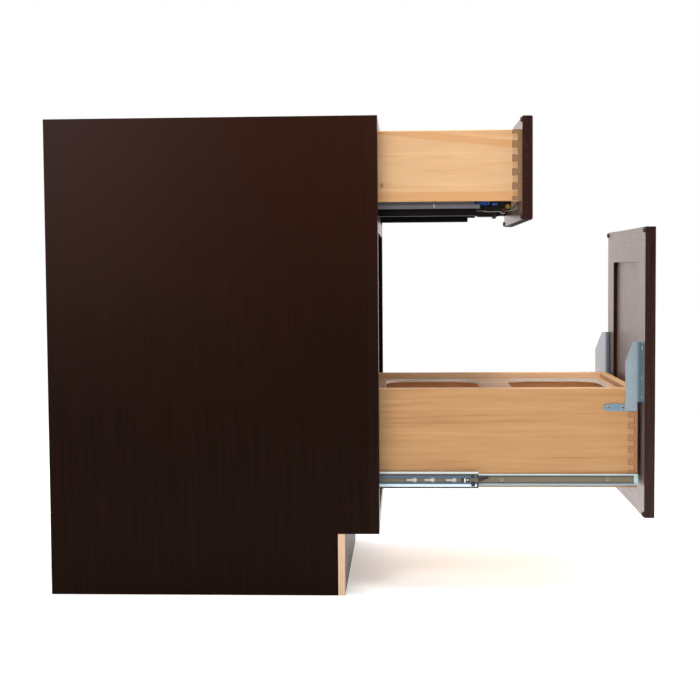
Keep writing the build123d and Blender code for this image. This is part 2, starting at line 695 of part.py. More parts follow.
def runner_cage(floor, wall, extent):
    """A thin U-shaped retainer of the left runner with its balls. floor and wall are (start, end) along Z."""
    y0, y1 = extent
    half = (RUNNER_HALF - RUNNER_STEEL + RUNNER_MIDDLE_HALF) / 2
    strip = runner_strip(-half, half, *floor, y0, y1)
    balls = []
    z = (wall[0] + wall[1]) / 2
    for sign in (-1, 1):
        u0, u1 = sorted((sign * (half - CAGE_T / 2), sign * (half + CAGE_T / 2)))
        strip += runner_strip(u0, u1, *wall, y0, y1)
    for sign in (-1, 1):
        x = -RUNNER_X - sign * half
        for y in ball_places(extent):
            strip -= rod(RUNNER_BALL_R + 0.1, (x - 1, y, z), (x + 1, y, z))
            balls.append(Pos(x, y, z) * Sphere(RUNNER_BALL_R))
    return [strip, *balls]


def build_runners():
    fixed = trough(
        RUNNER_HALF,
        RUNNER_LOW,
        RUNNER_CABINET_TOP,
        RUNNER_STEEL,
        "low",
        RUNNER_CABINET_FRONT,
        RUNNER_CABINET_BACK,
    )
    tab_front, tab_back = RUNNER_CABINET_FRONT, FRAME_BACK - 1
    tab_z = RUNNER_LOW, RUNNER_LOW + RUNNER_STEEL
    fixed += block(-OPENING, -RUNNER_X - RUNNER_HALF, tab_front, tab_back, *tab_z)
    fixed += block(-OPENING, -OPENING + RUNNER_STEEL, tab_front, tab_back, RUNNER_LOW, RUNNER_LOW + 15)
    fixed -= slide_tab_pilots()
    y = (FRAME_FRONT + FRAME_BACK) / 2
    tab_screw = screw((-OPENING + RUNNER_STEEL, y, RUNNER_LOW + 9), (-1, 0, 0), 14.0, head_r=3.4, head_t=1.6)

    socket = block(-RUNNER_X - 24, -RUNNER_X + 24, -PLY - 30, -PLY, RUNNER_LOW - 4, RUNNER_CABINET_TOP + 4)
    socket = fillet(socket.edges().filter_by(Axis.Z).group_by(Axis.Y)[0], 4.0)
    seat = block(
        -RUNNER_X - RUNNER_HALF - 0.2,
        -RUNNER_X + RUNNER_HALF + 0.2,
        -PLY - 31,
        RUNNER_CABINET_BACK + 0.2,
        RUNNER_LOW - 0.1,
        RUNNER_CABINET_TOP + 5,
    )
    middle_extent = RUNNER_MIDDLE_FRONT, RUNNER_MIDDLE_FRONT + RUNNER_MIDDLE_LENGTH
    middle = runner_strip(
        -RUNNER_MIDDLE_HALF, RUNNER_MIDDLE_HALF, RUNNER_MIDDLE_LOW, RUNNER_MIDDLE_TOP, *middle_extent
    )
    middle -= runner_strip(
        -RUNNER_MIDDLE_HALF + RUNNER_STEEL,
        RUNNER_MIDDLE_HALF - RUNNER_STEEL,
        RUNNER_MIDDLE_LOW + RUNNER_STEEL,
        RUNNER_MIDDLE_TOP - RUNNER_STEEL,
        *middle_extent,
    )
    tongue_extent = RUNNER_MIDDLE_FRONT - RUNNER_TONGUE, RUNNER_MIDDLE_FRONT + RUNNER_TONGUE
    middle += runner_strip(-RUNNER_MIDDLE_HALF, RUNNER_MIDDLE_HALF, *RUNNER_TONGUE_Z, *tongue_extent)
    carried = trough(
        RUNNER_HALF,
        RUNNER_DRAWER_LOW,
        DRAWER_BOTTOM_LOW,
        RUNNER_STEEL,
        "high",
        RUNNER_DRAWER_FRONT,
        RUNNER_DRAWER_BACK,
    )
    lip_z = RUNNER_DRAWER_LOW, RUNNER_LIP_TOP
    carried += runner_strip(
        RUNNER_HALF, RUNNER_HALF + RUNNER_LIP_T, *lip_z, RUNNER_DRAWER_FRONT, RUNNER_DRAWER_BACK
    )
    carried -= runner_strip(
        -RUNNER_HALF - 1,
        RUNNER_HALF + 1,
        RUNNER_LIP_TOP,
        DRAWER_BOTTOM_LOW + 1,
        RUNNER_DRAWER_FRONT - 1,
        RUNNER_DRAWER_FRONT + RUNNER_WINDOW,
    )
    write_pair("drawer_runner_fixed", fixed)
    write("drawer_runner_rear_brackets", pair(socket - seat))
    write_pair("drawer_runner_middle", middle, DRAWER_OUT * DRAWER_MIDDLE_SHARE)
    write_pair("drawer_runner_carried", carried, DRAWER_OUT)
    lower = runner_cage(
        (RUNNER_LOW + 2.1, RUNNER_LOW + 2.7), (RUNNER_LOW + 2.1, RUNNER_CABINET_TOP - 1), LOWER_CAGE
    )
    upper = runner_cage(
        (RUNNER_MIDDLE_TOP + 0.6, RUNNER_MIDDLE_TOP + 1.2),
        (RUNNER_DRAWER_LOW + 1, RUNNER_MIDDLE_TOP + 1.2),
        UPPER_CAGE,
    )
    both = [s for shape in lower for s in pair(shape)]
    write("runner_lower_ball_cages", both, DRAWER_OUT * DRAWER_MIDDLE_SHARE / 2)
    both = [s for shape in upper for s in pair(shape)]
    write("runner_upper_ball_cages", both, DRAWER_OUT * (1 + DRAWER_MIDDLE_SHARE) / 2)
    return list(pair(tab_screw))


def build_clips():
    """The locking clips under the drawer's front corners, which grip the carried runner members."""
    x0 = -RUNNER_X + RUNNER_HALF + 0.2
    x1 = x0 + CLIP_WIDTH
    outline = [(FRONT_BACK + y, z) for y, z in CLIP_OUTLINE]
    body = slab_yz(outline, x0, x1) - block(x0 - 1, x1 + 1, *CLIP_BOX_FRONT_ROOM)
    wheel_y, wheel_z = FRONT_BACK + CLIP_WHEEL[0], CLIP_WHEEL[1]
    body -= rod(CLIP_WHEEL_R + 0.7, (x0 - 1, wheel_y, wheel_z), (x0 + 8, wheel_y, wheel_z))
    body += rod(2.0, (x0 + 1, wheel_y, wheel_z), (x0 + 9, wheel_y, wheel_z))
    wheel = rod(CLIP_WHEEL_R, (x0 + 0.8, wheel_y, wheel_z), (x0 + 7.2, wheel_y, wheel_z))
    wheel -= rod(2.1, (x0, wheel_y, wheel_z), (x0 + 9, wheel_y, wheel_z))

    y, z = FRONT_BACK + CLIP_PIVOT[0], CLIP_PIVOT[1]
    lever_outline = [(FRONT_BACK + py, pz) for py, pz in CLIP_LEVER_OUTLINE]
    lever = slab_yz(lever_outline, x0 + 0.6, x0 + CLIP_LEVER_WIDTH)
    lever -= rod(1.7, (x0 - 1, y, z), (x1, y, z))
    room_x = x0 - 1, x0 + CLIP_LEVER_WIDTH + 0.5
    room_y = FRONT_BACK + CLIP_LEVER_ROOM_FRONT, FRONT_BACK + 102
    body -= block(*room_x, *room_y, CLIP_LEVER_ROOM_LOW, DRAWER_BOTTOM_LOW - 2)
    body += rod(1.6, (x0 + 1, y, z), (x0 + CLIP_LEVER_WIDTH + 2, y, z))
    write("drawer_clips", pair(body), DRAWER_OUT)
    write("drawer_clip_wheels", pair(wheel), DRAWER_OUT)
    write_pair("drawer_clip_lever", lever, DRAWER_OUT)


def main():
    os.makedirs("parts", exist_ok=True)
    build_cabinet_box()
    build_face_frame()
    build_drawer()
    tab_screws = build_runners()
    build_clips()
    build_pullout_box()
    spacer_screws, member_screws = build_slides()
    build_release_levers()
    bracket_screws = build_brackets()
    build_door()
    write("cabinet_slide_screws", tab_screws + spacer_screws)
    write("pullout_screws", member_screws + bracket_screws, PULL_OUT)


main()
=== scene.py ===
import math

import bmesh
import bpy
from mathutils import Matrix, Vector


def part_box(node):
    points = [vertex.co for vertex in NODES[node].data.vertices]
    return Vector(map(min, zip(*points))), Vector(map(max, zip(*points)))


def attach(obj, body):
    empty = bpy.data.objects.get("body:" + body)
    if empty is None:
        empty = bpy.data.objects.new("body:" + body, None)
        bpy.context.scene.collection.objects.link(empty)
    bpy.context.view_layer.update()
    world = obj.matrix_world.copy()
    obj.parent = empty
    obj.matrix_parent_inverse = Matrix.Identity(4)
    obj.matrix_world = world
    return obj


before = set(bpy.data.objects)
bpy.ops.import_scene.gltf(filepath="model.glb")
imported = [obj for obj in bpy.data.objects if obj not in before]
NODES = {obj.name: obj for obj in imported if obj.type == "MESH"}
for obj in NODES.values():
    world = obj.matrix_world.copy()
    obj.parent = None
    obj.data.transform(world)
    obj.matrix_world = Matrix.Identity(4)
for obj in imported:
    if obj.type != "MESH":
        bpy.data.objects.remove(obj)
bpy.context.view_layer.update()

MM = 0.001
SIDES = (("left", -1), ("right", 1))

# Planes that pieces and materials are placed from
DRAWER_FRONT_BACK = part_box("drawer_front")[1].y
DRAWER_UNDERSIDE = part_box("drawer_side_left")[0].z
CLIP_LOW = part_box("drawer_clips")[0]
SLIDE_LOW, SLIDE_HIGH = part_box("pullout_slide_inner_left")
SLIDE_Z = (SLIDE_LOW.z + SLIDE_HIGH.z) / 2
PLATFORM_LOW, PLATFORM_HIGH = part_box("bin_platform")
PANEL_RECESS = 7.2 * MM
DOOR_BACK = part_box("door_panel")[1].y + PANEL_RECESS
BRACKET_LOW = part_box("door_bracket_left")[0].z

# Sizes of the boxes' dovetails, as they are cut
BOARD = 15.875 * MM
LAP = 5.5 * MM
DRAWER_TAIL_PITCH = 25.4 * MM
PULL_TAIL_PITCH = 22.225 * MM

PULL_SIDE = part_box("pullout_side_left")[0]
RUNNER_LIP_TOP = 717.5 * MM
RUNNER_OUTSIDE = 169.8 * MM
MIDDLE_WEB_OUTSIDE = 188.2 * MM


# Camera

CAMERA_PLACE = Vector((-2.4286, -0.6591, 0.6000))
CAMERA_YAW = math.radians(2.625)
CAMERA_PITCH = math.radians(-2.886)
CAMERA_ROLL = math.radians(-0.411)
CAMERA_LENS = 62.37
CAMERA_SHIFT = -0.0285


def make_camera():
    """A camera to the left of the cabinet, looking at its left side and a little down."""
    forward = Vector((
        math.cos(CAMERA_PITCH) * math.cos(CAMERA_YAW),
        math.cos(CAMERA_PITCH) * math.sin(CAMERA_YAW),
        math.sin(CAMERA_PITCH),
    ))
    right = forward.cross(Vector((0, 0, 1))).normalized()
    up = right.cross(forward)
    rolled_right = right * math.cos(CAMERA_ROLL) + up * math.sin(CAMERA_ROLL)
    rolled_up = up * math.cos(CAMERA_ROLL) - right * math.sin(CAMERA_ROLL)
    turn = Matrix((rolled_right, rolled_up, -forward)).transposed()
    camera = bpy.data.objects.new("camera", bpy.data.cameras.new("camera"))
    camera.data.lens = CAMERA_LENS
    camera.data.shift_y = CAMERA_SHIFT
    camera.matrix_world = Matrix.Translation(CAMERA_PLACE) @ turn.to_4x4()
    bpy.context.scene.collection.objects.link(camera)
    bpy.context.scene.camera = camera


# Shader helpers


def rgb(red, green, blue):
    """A colour given as 0 to 255 on screen, as the linear colour that shaders take."""
    linear = []
    for level in (red, green, blue):
        share = level / 255
        linear.append(share / 12.92 if level <= 10 else ((share + 0.055) / 1.055) ** 2.4)
    return (*linear, 1)


def add(tree, kind, inputs=None, **settings):
    """Adds a shader node. inputs maps a socket's name or number to a value or to another node's output."""
    node = tree.nodes.new("ShaderNode" + kind)
    for key, value in settings.items():
        setattr(node, key, value)
    for key, value in (inputs or {}).items():
        if isinstance(value, bpy.types.NodeSocket):
            tree.links.new(value, node.inputs[key])
        else:
            node.inputs[key].default_value = value
    return node


def calc(tree, operation, *values, clamp=False):
    """The output of a math node."""
    return add(tree, "Math", dict(enumerate(values)), operation=operation, use_clamp=clamp).outputs[0]


def mix(tree, factor, a, b, blend="MIX"):
    """The output of a colour mix."""
    node = add(tree, "Mix", data_type="RGBA", blend_type=blend)
    for index, value in ((0, factor), (6, a), (7, b)):
        if isinstance(value, bpy.types.NodeSocket):
            tree.links.new(value, node.inputs[index])
        else:
            node.inputs[index].default_value = value
    return node.outputs[2]


def ramp(tree, factor, stops, smooth=True):
    """The colour of a ramp with (place, colour) stops."""
    node = add(tree, "ValToRGB", {0: factor})
    band = node.color_ramp
    band.interpolation = "EASE" if smooth else "LINEAR"
    while len(band.elements) < len(stops):
        band.elements.new(1.0)
    for element, (place, colour) in zip(band.elements, stops):
        element.position = place
        element.color = colour
    return node.outputs["Color"]


def step(tree, value, low, high):
    """0 at low and 1 at high, smooth between."""
    node = add(
        tree, "MapRange", {"Value": value, "From Min": low, "From Max": high}, interpolation_type="SMOOTHSTEP"
    )
    return node.outputs["Result"]


def within(tree, value, low, high, soft):
    """1 while a value is between low and high, and 0 outside, softened over a distance."""
    past_low = step(tree, value, low - soft, low + soft)
    before_high = step(tree, value, high + soft, high - soft)
    return calc(tree, "MULTIPLY", past_low, before_high)


def largest(tree, first, *others):
    """The largest of several values."""
    for other in others:
        first = calc(tree, "MAXIMUM", first, other)
    return first


def diagonal(tree, a, b):
    """The length of the diagonal over two sides."""
    squares = calc(tree, "ADD", calc(tree, "MULTIPLY", a, a), calc(tree, "MULTIPLY", b, b))
    return calc(tree, "SQRT", squares)


def shaded(tree, colour, level):
    """A colour made lighter or darker by a level around 1."""
    tone = add(tree, "CombineColor", {0: level, 1: level, 2: level}).outputs[0]
    return mix(tree, 1.0, colour, tone, "MULTIPLY")


def tinted(tree, colour, tone, mask, strength):
    """A colour mixed towards a tone where a mask is 1, as far as a strength says."""
    return mix(tree, calc(tree, "MULTIPLY", mask, strength), colour, tone)


def rescale(tree, value, low, high):
    """A value from 0 to 1 carried to the range from low to high."""
    return add(tree, "MapRange", {"Value": value, "To Min": low, "To Max": high}).outputs["Result"]


def place(tree):
    """The point's place in the cabinet's frame, in metres, and its x, y and z."""
    point = add(tree, "TexCoord").outputs["Object"]
    parts = add(tree, "SeparateXYZ", {0: point}).outputs
    return point, parts[0], parts[1], parts[2]


def signed_facing(tree, axis):
    """How far a surface faces along an axis of the object, from -1 to 1."""
    normal = add(tree, "TexCoord").outputs["Normal"]
    return add(tree, "SeparateXYZ", {0: normal}).outputs["XYZ".index(axis)]


def facing(tree, axis):
    """How far a surface faces along an axis of the object either way, from 0 to 1."""
    return calc(tree, "ABSOLUTE", signed_facing(tree, axis))


# How far one step of a seed moves a texture along x, y and z
SEED_STEP = (1.0, 0.7, 1.3)


def stretched(tree, point, scale, seed=0.0):
    """The point multiplied along each axis, then moved to its own stretch of the noise."""
    scaled = add(tree, "VectorMath", {0: point, 1: scale}, operation="MULTIPLY").outputs[0]
    moved = tuple(seed * share for share in SEED_STEP)
    return add(tree, "VectorMath", {0: scaled, 1: moved}, operation="ADD").outputs[0]


def noise(tree, point, scale=1.0, detail=3.0, roughness=0.5):
    """The value of a noise texture at a point."""
    inputs = {"Vector": point, "Scale": scale, "Detail": detail, "Roughness": roughness}
    return add(tree, "TexNoise", inputs).outputs["Fac"]


def bump(tree, height, strength, distance):
    return add(tree, "Bump", {"Strength": strength, "Distance": distance, "Height": height}).outputs["Normal"]


def material(name, **surface):
    """A new material with its surface's constant inputs set, its tree and its surface node."""
    made = bpy.data.materials.new(name)
    made.use_nodes = True
    tree = made.node_tree
    surface_node = tree.nodes["Principled BSDF"]
    for key, value in surface.items():
        surface_node.inputs[key.replace("_", " ")].default_value = value
    return made, tree, surface_node


def connect(tree, surface_node, **outputs):
    for key, value in outputs.items():
        tree.links.new(value, surface_node.inputs[key.replace("_", " ")])


# Wood

# The noise that draws grain: how fine each layer is across the grain, and how coarse along it
WANDER_ACROSS = 9.0
WANDER_ALONG = 1.6
WANDER_REACH = 0.030
FIBRE_SCALE = 620.0
FIBRE_STRETCH = 0.018
PORE_SCALE = 900.0
PORE_STRETCH = 0.06
PORE_LEVELS = (0.66, 0.74)
PORE_SEED_STEP = 3.0

# Solid wood: where its three tones sit in the figure, its end grain, and its relief
WOOD_STOPS = (0.28, 0.47, 0.70)
END_SPECK_SCALE = (420.0, 420.0, 420.0)
END_SPECK_SHADE = 0.72
END_FACING = (0.72, 0.9)
DOWNWARDS = (-0.5, -0.9)
FIBRE_HEIGHT = 0.4
WOOD_BUMP = (0.25, 0.00025)

# Plywood: the same for its faces, then the plies on its edges
PLY_STOPS = (0.32, 0.48, 0.66)
PLY_FIGURE_SCALE = 40.0
PLY_FIBRE_LEVELS = (0.84, 1.14)
PLY_PORE_DEPTH = 0.3
PLY_EDGE_SCALE = (260.0, 260.0, 900.0)
PLY_EDGE_LEVELS = (0.75, 1.2)
PLY_CHANGE = (0.35, 0.65)
PLY_FACING = (0.3, 0.6)
PLY_BUMP = (0.2, 0.0002)


def along_grain(grain, across, along):
    """A scale for the noise: along on the grain's axis, and across on the other two."""
    return tuple(along if axis == grain else across for axis in "XYZ")


def grain_layers(tree, point, grain, figure_scale, seed, stretch=0.05):
    """Three layers of a board's grain, each from 0 to 1: its broad figure, its fibres and its pores."""
    def layer(at, across, along, own_seed, **settings):
        return noise(tree, stretched(tree, at, along_grain(grain, across, along), own_seed), **settings)

    wander = layer(point, WANDER_ACROSS, WANDER_ALONG, seed, detail=2.0)
    shift = calc(tree, "MULTIPLY", calc(tree, "SUBTRACT", wander, 0.5), WANDER_REACH)
    offset = add(tree, "CombineXYZ", {0: shift, 1: shift, 2: shift}).outputs[0]
    bent = add(tree, "VectorMath", {0: point, 1: offset}, operation="ADD").outputs[0]
    figure = layer(bent, figure_scale, figure_scale * stretch, seed, detail=4.0, roughness=0.55)
    fibre = layer(point, FIBRE_SCALE, FIBRE_SCALE * FIBRE_STRETCH, seed, detail=2.0, roughness=0.6)
    pores = layer(point, PORE_SCALE, PORE_SCALE * PORE_STRETCH, seed + PORE_SEED_STEP, detail=1.0)
    return figure, fibre, step(tree, pores, *PORE_LEVELS)


def wood(name, dark, middle, light, grain, figure_scale=55.0, end=None, rough=(0.38, 0.55), fibre_depth=0.14,
         pore_depth=0.15, seed=0.0, stretch=0.05, patches=None, under_rough=None, **surface):
    """Clear-coated or stained wood with its grain along one axis, and end grain where that axis comes out."""
    made, tree, surface_node = material(name, **surface)
    point = place(tree)[0]
    figure, fibre, pore = grain_layers(tree, point, grain, figure_scale, seed, stretch)
    colour = ramp(tree, figure, list(zip(WOOD_STOPS, (dark, middle, light))))
    colour = shaded(tree, colour, rescale(tree, fibre, 1.0 - fibre_depth, 1.0 + fibre_depth))
    colour = tinted(tree, colour, dark, pore, pore_depth)
    if patches:
        colour = patches(tree, colour)
    if end:
        speck = noise(tree, stretched(tree, point, END_SPECK_SCALE, seed), detail=2.0)
        end_colour = mix(tree, speck, end, tuple(END_SPECK_SHADE * c for c in end[:3]) + (1,))
        colour = mix(tree, step(tree, facing(tree, grain), *END_FACING), colour, end_colour)
    height = calc(tree, "SUBTRACT", calc(tree, "MULTIPLY", fibre, FIBRE_HEIGHT), pore)
    roughness = rescale(tree, fibre, *rough)
    if under_rough:
        down = step(tree, signed_facing(tree, "Z"), *DOWNWARDS)
        roughness = calc(tree, "MAXIMUM", roughness, calc(tree, "MULTIPLY", down, under_rough))
    connect(
        tree,
        surface_node,
        Base_Color=colour,
        Roughness=roughness,
        Normal=bump(tree, height, *WOOD_BUMP),
    )
    return made


def plywood(name, dark, middle, light, grain, thickness_axis, low, high, plies, rough=(0.4, 0.55), seed=0.0,
            edge_tones=(rgb(214, 190, 152), rgb(172, 138, 98)), face=None, **surface):
    """A veneered board whose cut edges show its plies between low and high along its thickness."""
    made, tree, surface_node = material(name, **surface)
    point, *parts = place(tree)
    figure, fibre, pore = grain_layers(tree, point, grain, PLY_FIGURE_SCALE, seed)
    colour = ramp(tree, figure, list(zip(PLY_STOPS, (dark, middle, light))))
    colour = shaded(tree, colour, rescale(tree, fibre, *PLY_FIBRE_LEVELS))
    colour = tinted(tree, colour, dark, pore, PLY_PORE_DEPTH)
    if face:
        colour = face(tree, colour, parts)
    depth = parts["XYZ".index(thickness_axis)]
    through = calc(tree, "DIVIDE", calc(tree, "SUBTRACT", depth, low), high - low)
    odd = calc(tree, "PINGPONG", calc(tree, "MULTIPLY", through, plies), 1.0)
    edge_fibre = noise(tree, stretched(tree, point, PLY_EDGE_SCALE, seed), detail=2.0)
    edge = mix(tree, step(tree, odd, *PLY_CHANGE), edge_tones[0], edge_tones[1])
    edge = shaded(tree, edge, rescale(tree, edge_fibre, *PLY_EDGE_LEVELS))
    on_edge = calc(tree, "SUBTRACT", 1.0, step(tree, facing(tree, thickness_axis), *PLY_FACING))
    colour = mix(tree, on_edge, colour, edge)
    connect(
        tree,
        surface_node,
        Base_Color=colour,
        Roughness=rescale(tree, fibre, *rough),
        Normal=bump(tree, fibre, *PLY_BUMP),
    )
    return made


# Metal and plastic

DRAWN_ACROSS = 1500.0
DRAWN_ALONG = 22.0
STEEL_CLOUD_SCALE = (38.0, 20.0, 38.0)
STEEL_BUMP = (0.12, 0.0001)
PLASTIC_CLOUD_SCALE = (60.0, 60.0, 60.0)
PLASTIC_LEVELS = (0.85, 1.15)
GRIT_SCALE = (2600.0, 2600.0, 2600.0)
PLASTIC_BUMP = (0.15, 0.0001)


def steel(name, tint, grain, rough=(0.28, 0.45), metallic=0.75, scratch=0.12, patches=None, seed=0.0,
          clouds=0.10, **surface):
    """Plated or painted sheet steel, drawn along one axis, with faint clouds and scratches."""
    made, tree, surface_node = material(name, Metallic=metallic, **surface)
    point = place(tree)[0]
    drawn_scale = along_grain(grain, DRAWN_ACROSS, DRAWN_ALONG)
    drawn = noise(tree, stretched(tree, point, drawn_scale, seed), detail=2.0)
    cloud = noise(tree, stretched(tree, point, STEEL_CLOUD_SCALE, seed), detail=4.0, roughness=0.6)
    level = calc(
        tree,
        "ADD",
        rescale(tree, drawn, 1.0 - scratch, 1.0 + scratch),
        rescale(tree, cloud, -clouds, clouds),
    )
    colour = shaded(tree, tint, level)
    if patches:
        colour = patches(tree, colour)
    connect(
        tree,
        surface_node,
        Base_Color=colour,
        Roughness=rescale(tree, cloud, *rough),
        Normal=bump(tree, drawn, *STEEL_BUMP),
    )
    return made


def plastic(name, tint, rough=(0.35, 0.5), patches=None, seed=0.0, **surface):
    """Moulded plastic or rubber with a fine spark-eroded texture."""
    made, tree, surface_node = material(name, **surface)
    point = place(tree)[0]
    cloud = noise(tree, stretched(tree, point, PLASTIC_CLOUD_SCALE, seed), detail=3.0)
    grit = noise(tree, stretched(tree, point, GRIT_SCALE, seed), detail=1.0)
    level = rescale(tree, cloud, *PLASTIC_LEVELS)
    colour = shaded(tree, tint, level)
    if patches:
        colour = patches(tree, colour)
    connect(
        tree,
        surface_node,
        Base_Color=colour,
        Roughness=rescale(tree, cloud, *rough),
        Normal=bump(tree, grit, *PLASTIC_BUMP),
    )
    return made


# The cabinet's own materials

# Stained boards: how their colour drifts, and the heights and depths of the painted light that makes them
# lighter towards the top and of the painted sheen that makes them greyer towards the top of the back
DRIFT_SCALE = (7.0, 4.0, 2.6)
DRIFT_SEED = 5.0
DRIFT_LEVELS = (0.84, 1.16)
PAINTED_LIGHT_HEIGHTS = (0.25, 1.0)
SHEEN_HEIGHTS = (0.20, 1.0)
SHEEN_DEPTHS = (-0.50, 0.05)
# The painted reflection on faces that look backwards: the facing over which it comes in, and its strength
BACKWARDS = (0.8, 0.95)
BACK_REFLECTION_STRENGTH = 0.85

# Bands on the drawer's sides. They count down from the top edge in metres, but the foot band counts up
# from the low edge. A third number softens a band, and a slope says how much it climbs towards the back
BROAD_BAND = (0.026, 0.040, 0.002)
BROAD_SLOPE = 0.11
STREAK_BAND = (0.009, 0.018, 0.003)
STREAK_SLOPE = 0.045
STREAK_STRENGTH = 0.6
CREST_BAND = (0.007, 0.003)
CREST_STRENGTH = 0.7
FOOT_BAND = (0.019, 0.016)
BAND_WOBBLE = 0.008
BAND_WOBBLE_SCALE = (30.0, 5.0, 30.0)
KNOT_Y = DRAWER_FRONT_BACK + 0.256
KNOT_Z = DRAWER_UNDERSIDE + 0.030
KNOT_SQUEEZE = (1.3, 0.8)
KNOT_RADII = (0.006, 0.001)

# Lines around the dovetails in metres, and the half width of a tail as a share of the pitch. The offset, in
# pitches, keeps the remainder positive and puts the middle of a tail at half a pitch
LINE = 0.0010
TAIL_HALF = 0.25
TAIL_FLARE = 0.08
TAIL_OFFSET = 10.5
SIDEWAYS = (0.6, 0.9)

# How far past a face its own tone reaches, and how softly the runner's painted shade meets its plain tone
INNER_FACE_REACH = 0.2 * MM
TOE_FACE_REACH = 0.0004
RUNNER_SOFTNESS = 0.0004

# The clip's hook, in metres behind the drawer front and above the clip's low edge
HOOK_DEPTHS = (0.0245, 0.0315)
HOOK_HEIGHT = 0.009

# A bracket's tones and painted shade, in metres behind the door or above the bracket's low edge
ARM_DEPTHS = (0.030, 0.033)
ARM_HEIGHTS = (0.0145, 0.012)
RIM_HEIGHTS = (0.0035, 0.0015)
FLANGE_DEPTHS = (0.0105, 0.0080)
BEND_SHADE_BAND = (0.0032, 0.0052, 0.0008)
OUTWARDS_RIGHT = (0.2, 0.7)


def uneven_stain(tree, colour):
    """A stained board whose colour drifts slowly over its face."""
    point = place(tree)[0]
    drift = noise(tree, stretched(tree, point, DRIFT_SCALE, DRIFT_SEED), detail=3.0, roughness=0.6)
    return shaded(tree, colour, rescale(tree, drift, *DRIFT_LEVELS))


def stain_with_painted_sheen(tree, colour):
    """Uneven stain, with painted light making it lighter towards the top and a painted sheen making it greyer
    towards the top of the back.
    """
    _, _, y, z = place(tree)
    colour = tinted(tree, colour, rgb(50, 27, 19), step(tree, z, *PAINTED_LIGHT_HEIGHTS), strength=0.75)
    sheen = calc(tree, "MULTIPLY", step(tree, z, *SHEEN_HEIGHTS), step(tree, y, *SHEEN_DEPTHS))
    return tinted(tree, uneven_stain(tree, colour), rgb(54, 41, 39), sheen, strength=0.6)


def backs_with_painted_reflection(tree, colour):
    """Uneven stain, with a paler and greyer tone painted on the faces that look backwards, as a reflection on
    their satin coat.
    """
    back = step(tree, signed_facing(tree, "Y"), *BACKWARDS)
    pale = mix(tree, BACK_REFLECTION_STRENGTH, colour, rgb(126, 105, 100))
    return mix(tree, back, uneven_stain(tree, colour), pale)


def espresso(name, grain, seed, tones, patches=uneven_stain, **surface):
    """Dark brown stain under a satin clear coat."""
    return wood(
        name, *[rgb(*t) for t in tones], grain, figure_scale=150.0, rough=(0.24, 0.32), fibre_depth=0.10,
        pore_depth=0.10, seed=seed, patches=patches, under_rough=0.95, **surface,
    )


def heartwood(tree, colour):
    """Darker bands along the upper and lower edges of the drawer sides, and a knot near the back."""
    point, _, y, z = place(tree)
    low, high = (corner.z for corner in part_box("drawer_side_left"))
    behind = calc(tree, "SUBTRACT", y, DRAWER_FRONT_BACK)
    wobble = noise(tree, stretched(tree, point, BAND_WOBBLE_SCALE, 2.0), detail=2.0)
    drop = calc(tree, "ADD", calc(tree, "SUBTRACT", high, z), calc(tree, "MULTIPLY", wobble, BAND_WOBBLE))

    def slanted(slope):
        return calc(tree, "ADD", drop, calc(tree, "MULTIPLY", behind, slope))

    broad = within(tree, slanted(BROAD_SLOPE), *BROAD_BAND)
    streak = calc(tree, "MULTIPLY", within(tree, slanted(STREAK_SLOPE), *STREAK_BAND), STREAK_STRENGTH)
    crest = calc(tree, "MULTIPLY", step(tree, drop, *CREST_BAND), CREST_STRENGTH)
    foot = step(tree, z, low + FOOT_BAND[0], low + FOOT_BAND[1])
    bands = largest(tree, broad, streak, crest, foot)
    colour = tinted(tree, colour, rgb(199, 145, 92), bands, strength=0.72)
    across = calc(tree, "MULTIPLY", calc(tree, "SUBTRACT", y, KNOT_Y), KNOT_SQUEEZE[0])
    up = calc(tree, "MULTIPLY", calc(tree, "SUBTRACT", z, KNOT_Z), KNOT_SQUEEZE[1])
    knot = step(tree, diagonal(tree, across, up), *KNOT_RADII)
    return tinted(tree, colour, rgb(138, 88, 44), knot, strength=0.75)


def joint_lines(tree, colour, front, low, high, pitch, shadow, darker):
    """Dark lines around a box's front dovetails and a darker tone over them, on faces that look sideways."""
    _, _, y, z = place(tree)
    soft = LINE / 2
    count = int((high - low) / pitch)
    first = (low + high) / 2 - pitch * (count - 1) / 2
    behind = calc(tree, "SUBTRACT", y, front)
    along_tail = calc(tree, "DIVIDE", calc(tree, "SUBTRACT", BOARD, behind), BOARD - LAP, clamp=True)
    share = calc(tree, "ADD", calc(tree, "MULTIPLY", along_tail, TAIL_FLARE), TAIL_HALF)
    up = calc(tree, "ADD", calc(tree, "SUBTRACT", z, first), pitch * TAIL_OFFSET)
    from_tail = calc(tree, "ABSOLUTE", calc(tree, "SUBTRACT", calc(tree, "MODULO", up, pitch), pitch / 2))
    from_flank = calc(tree, "SUBTRACT", from_tail, calc(tree, "MULTIPLY", share, pitch))
    near_flank = step(tree, calc(tree, "ABSOLUTE", from_flank), LINE, soft)
    flank = calc(tree, "MULTIPLY", near_flank, within(tree, behind, LAP, BOARD, soft))
    on_tail = step(tree, from_flank, soft, -soft)
    tip = calc(tree, "MULTIPLY", within(tree, behind, LAP - LINE, LAP + LINE, soft), on_tail)
    off_tail = calc(tree, "SUBTRACT", 1.0, on_tail)
    shoulder = calc(tree, "MULTIPLY", within(tree, behind, BOARD - LINE, BOARD + LINE, soft), off_tail)
    sideways = step(tree, facing(tree, "X"), *SIDEWAYS)
    joint = calc(tree, "MULTIPLY", step(tree, behind, BOARD + LINE, BOARD - LINE), sideways)
    lines = calc(tree, "MULTIPLY", largest(tree, flank, tip, shoulder), sideways)
    colour = tinted(tree, colour, shadow, joint, darker)
    return tinted(tree, colour, shadow, lines, strength=0.9)


def drawer_joint_lines(tree, colour):
    low, high = (corner.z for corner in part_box("drawer_side_left"))
    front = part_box("drawer_box_front")[0].y
    return joint_lines(tree, colour, front, low, high, DRAWER_TAIL_PITCH, shadow=rgb(84, 58, 40), darker=0.22)


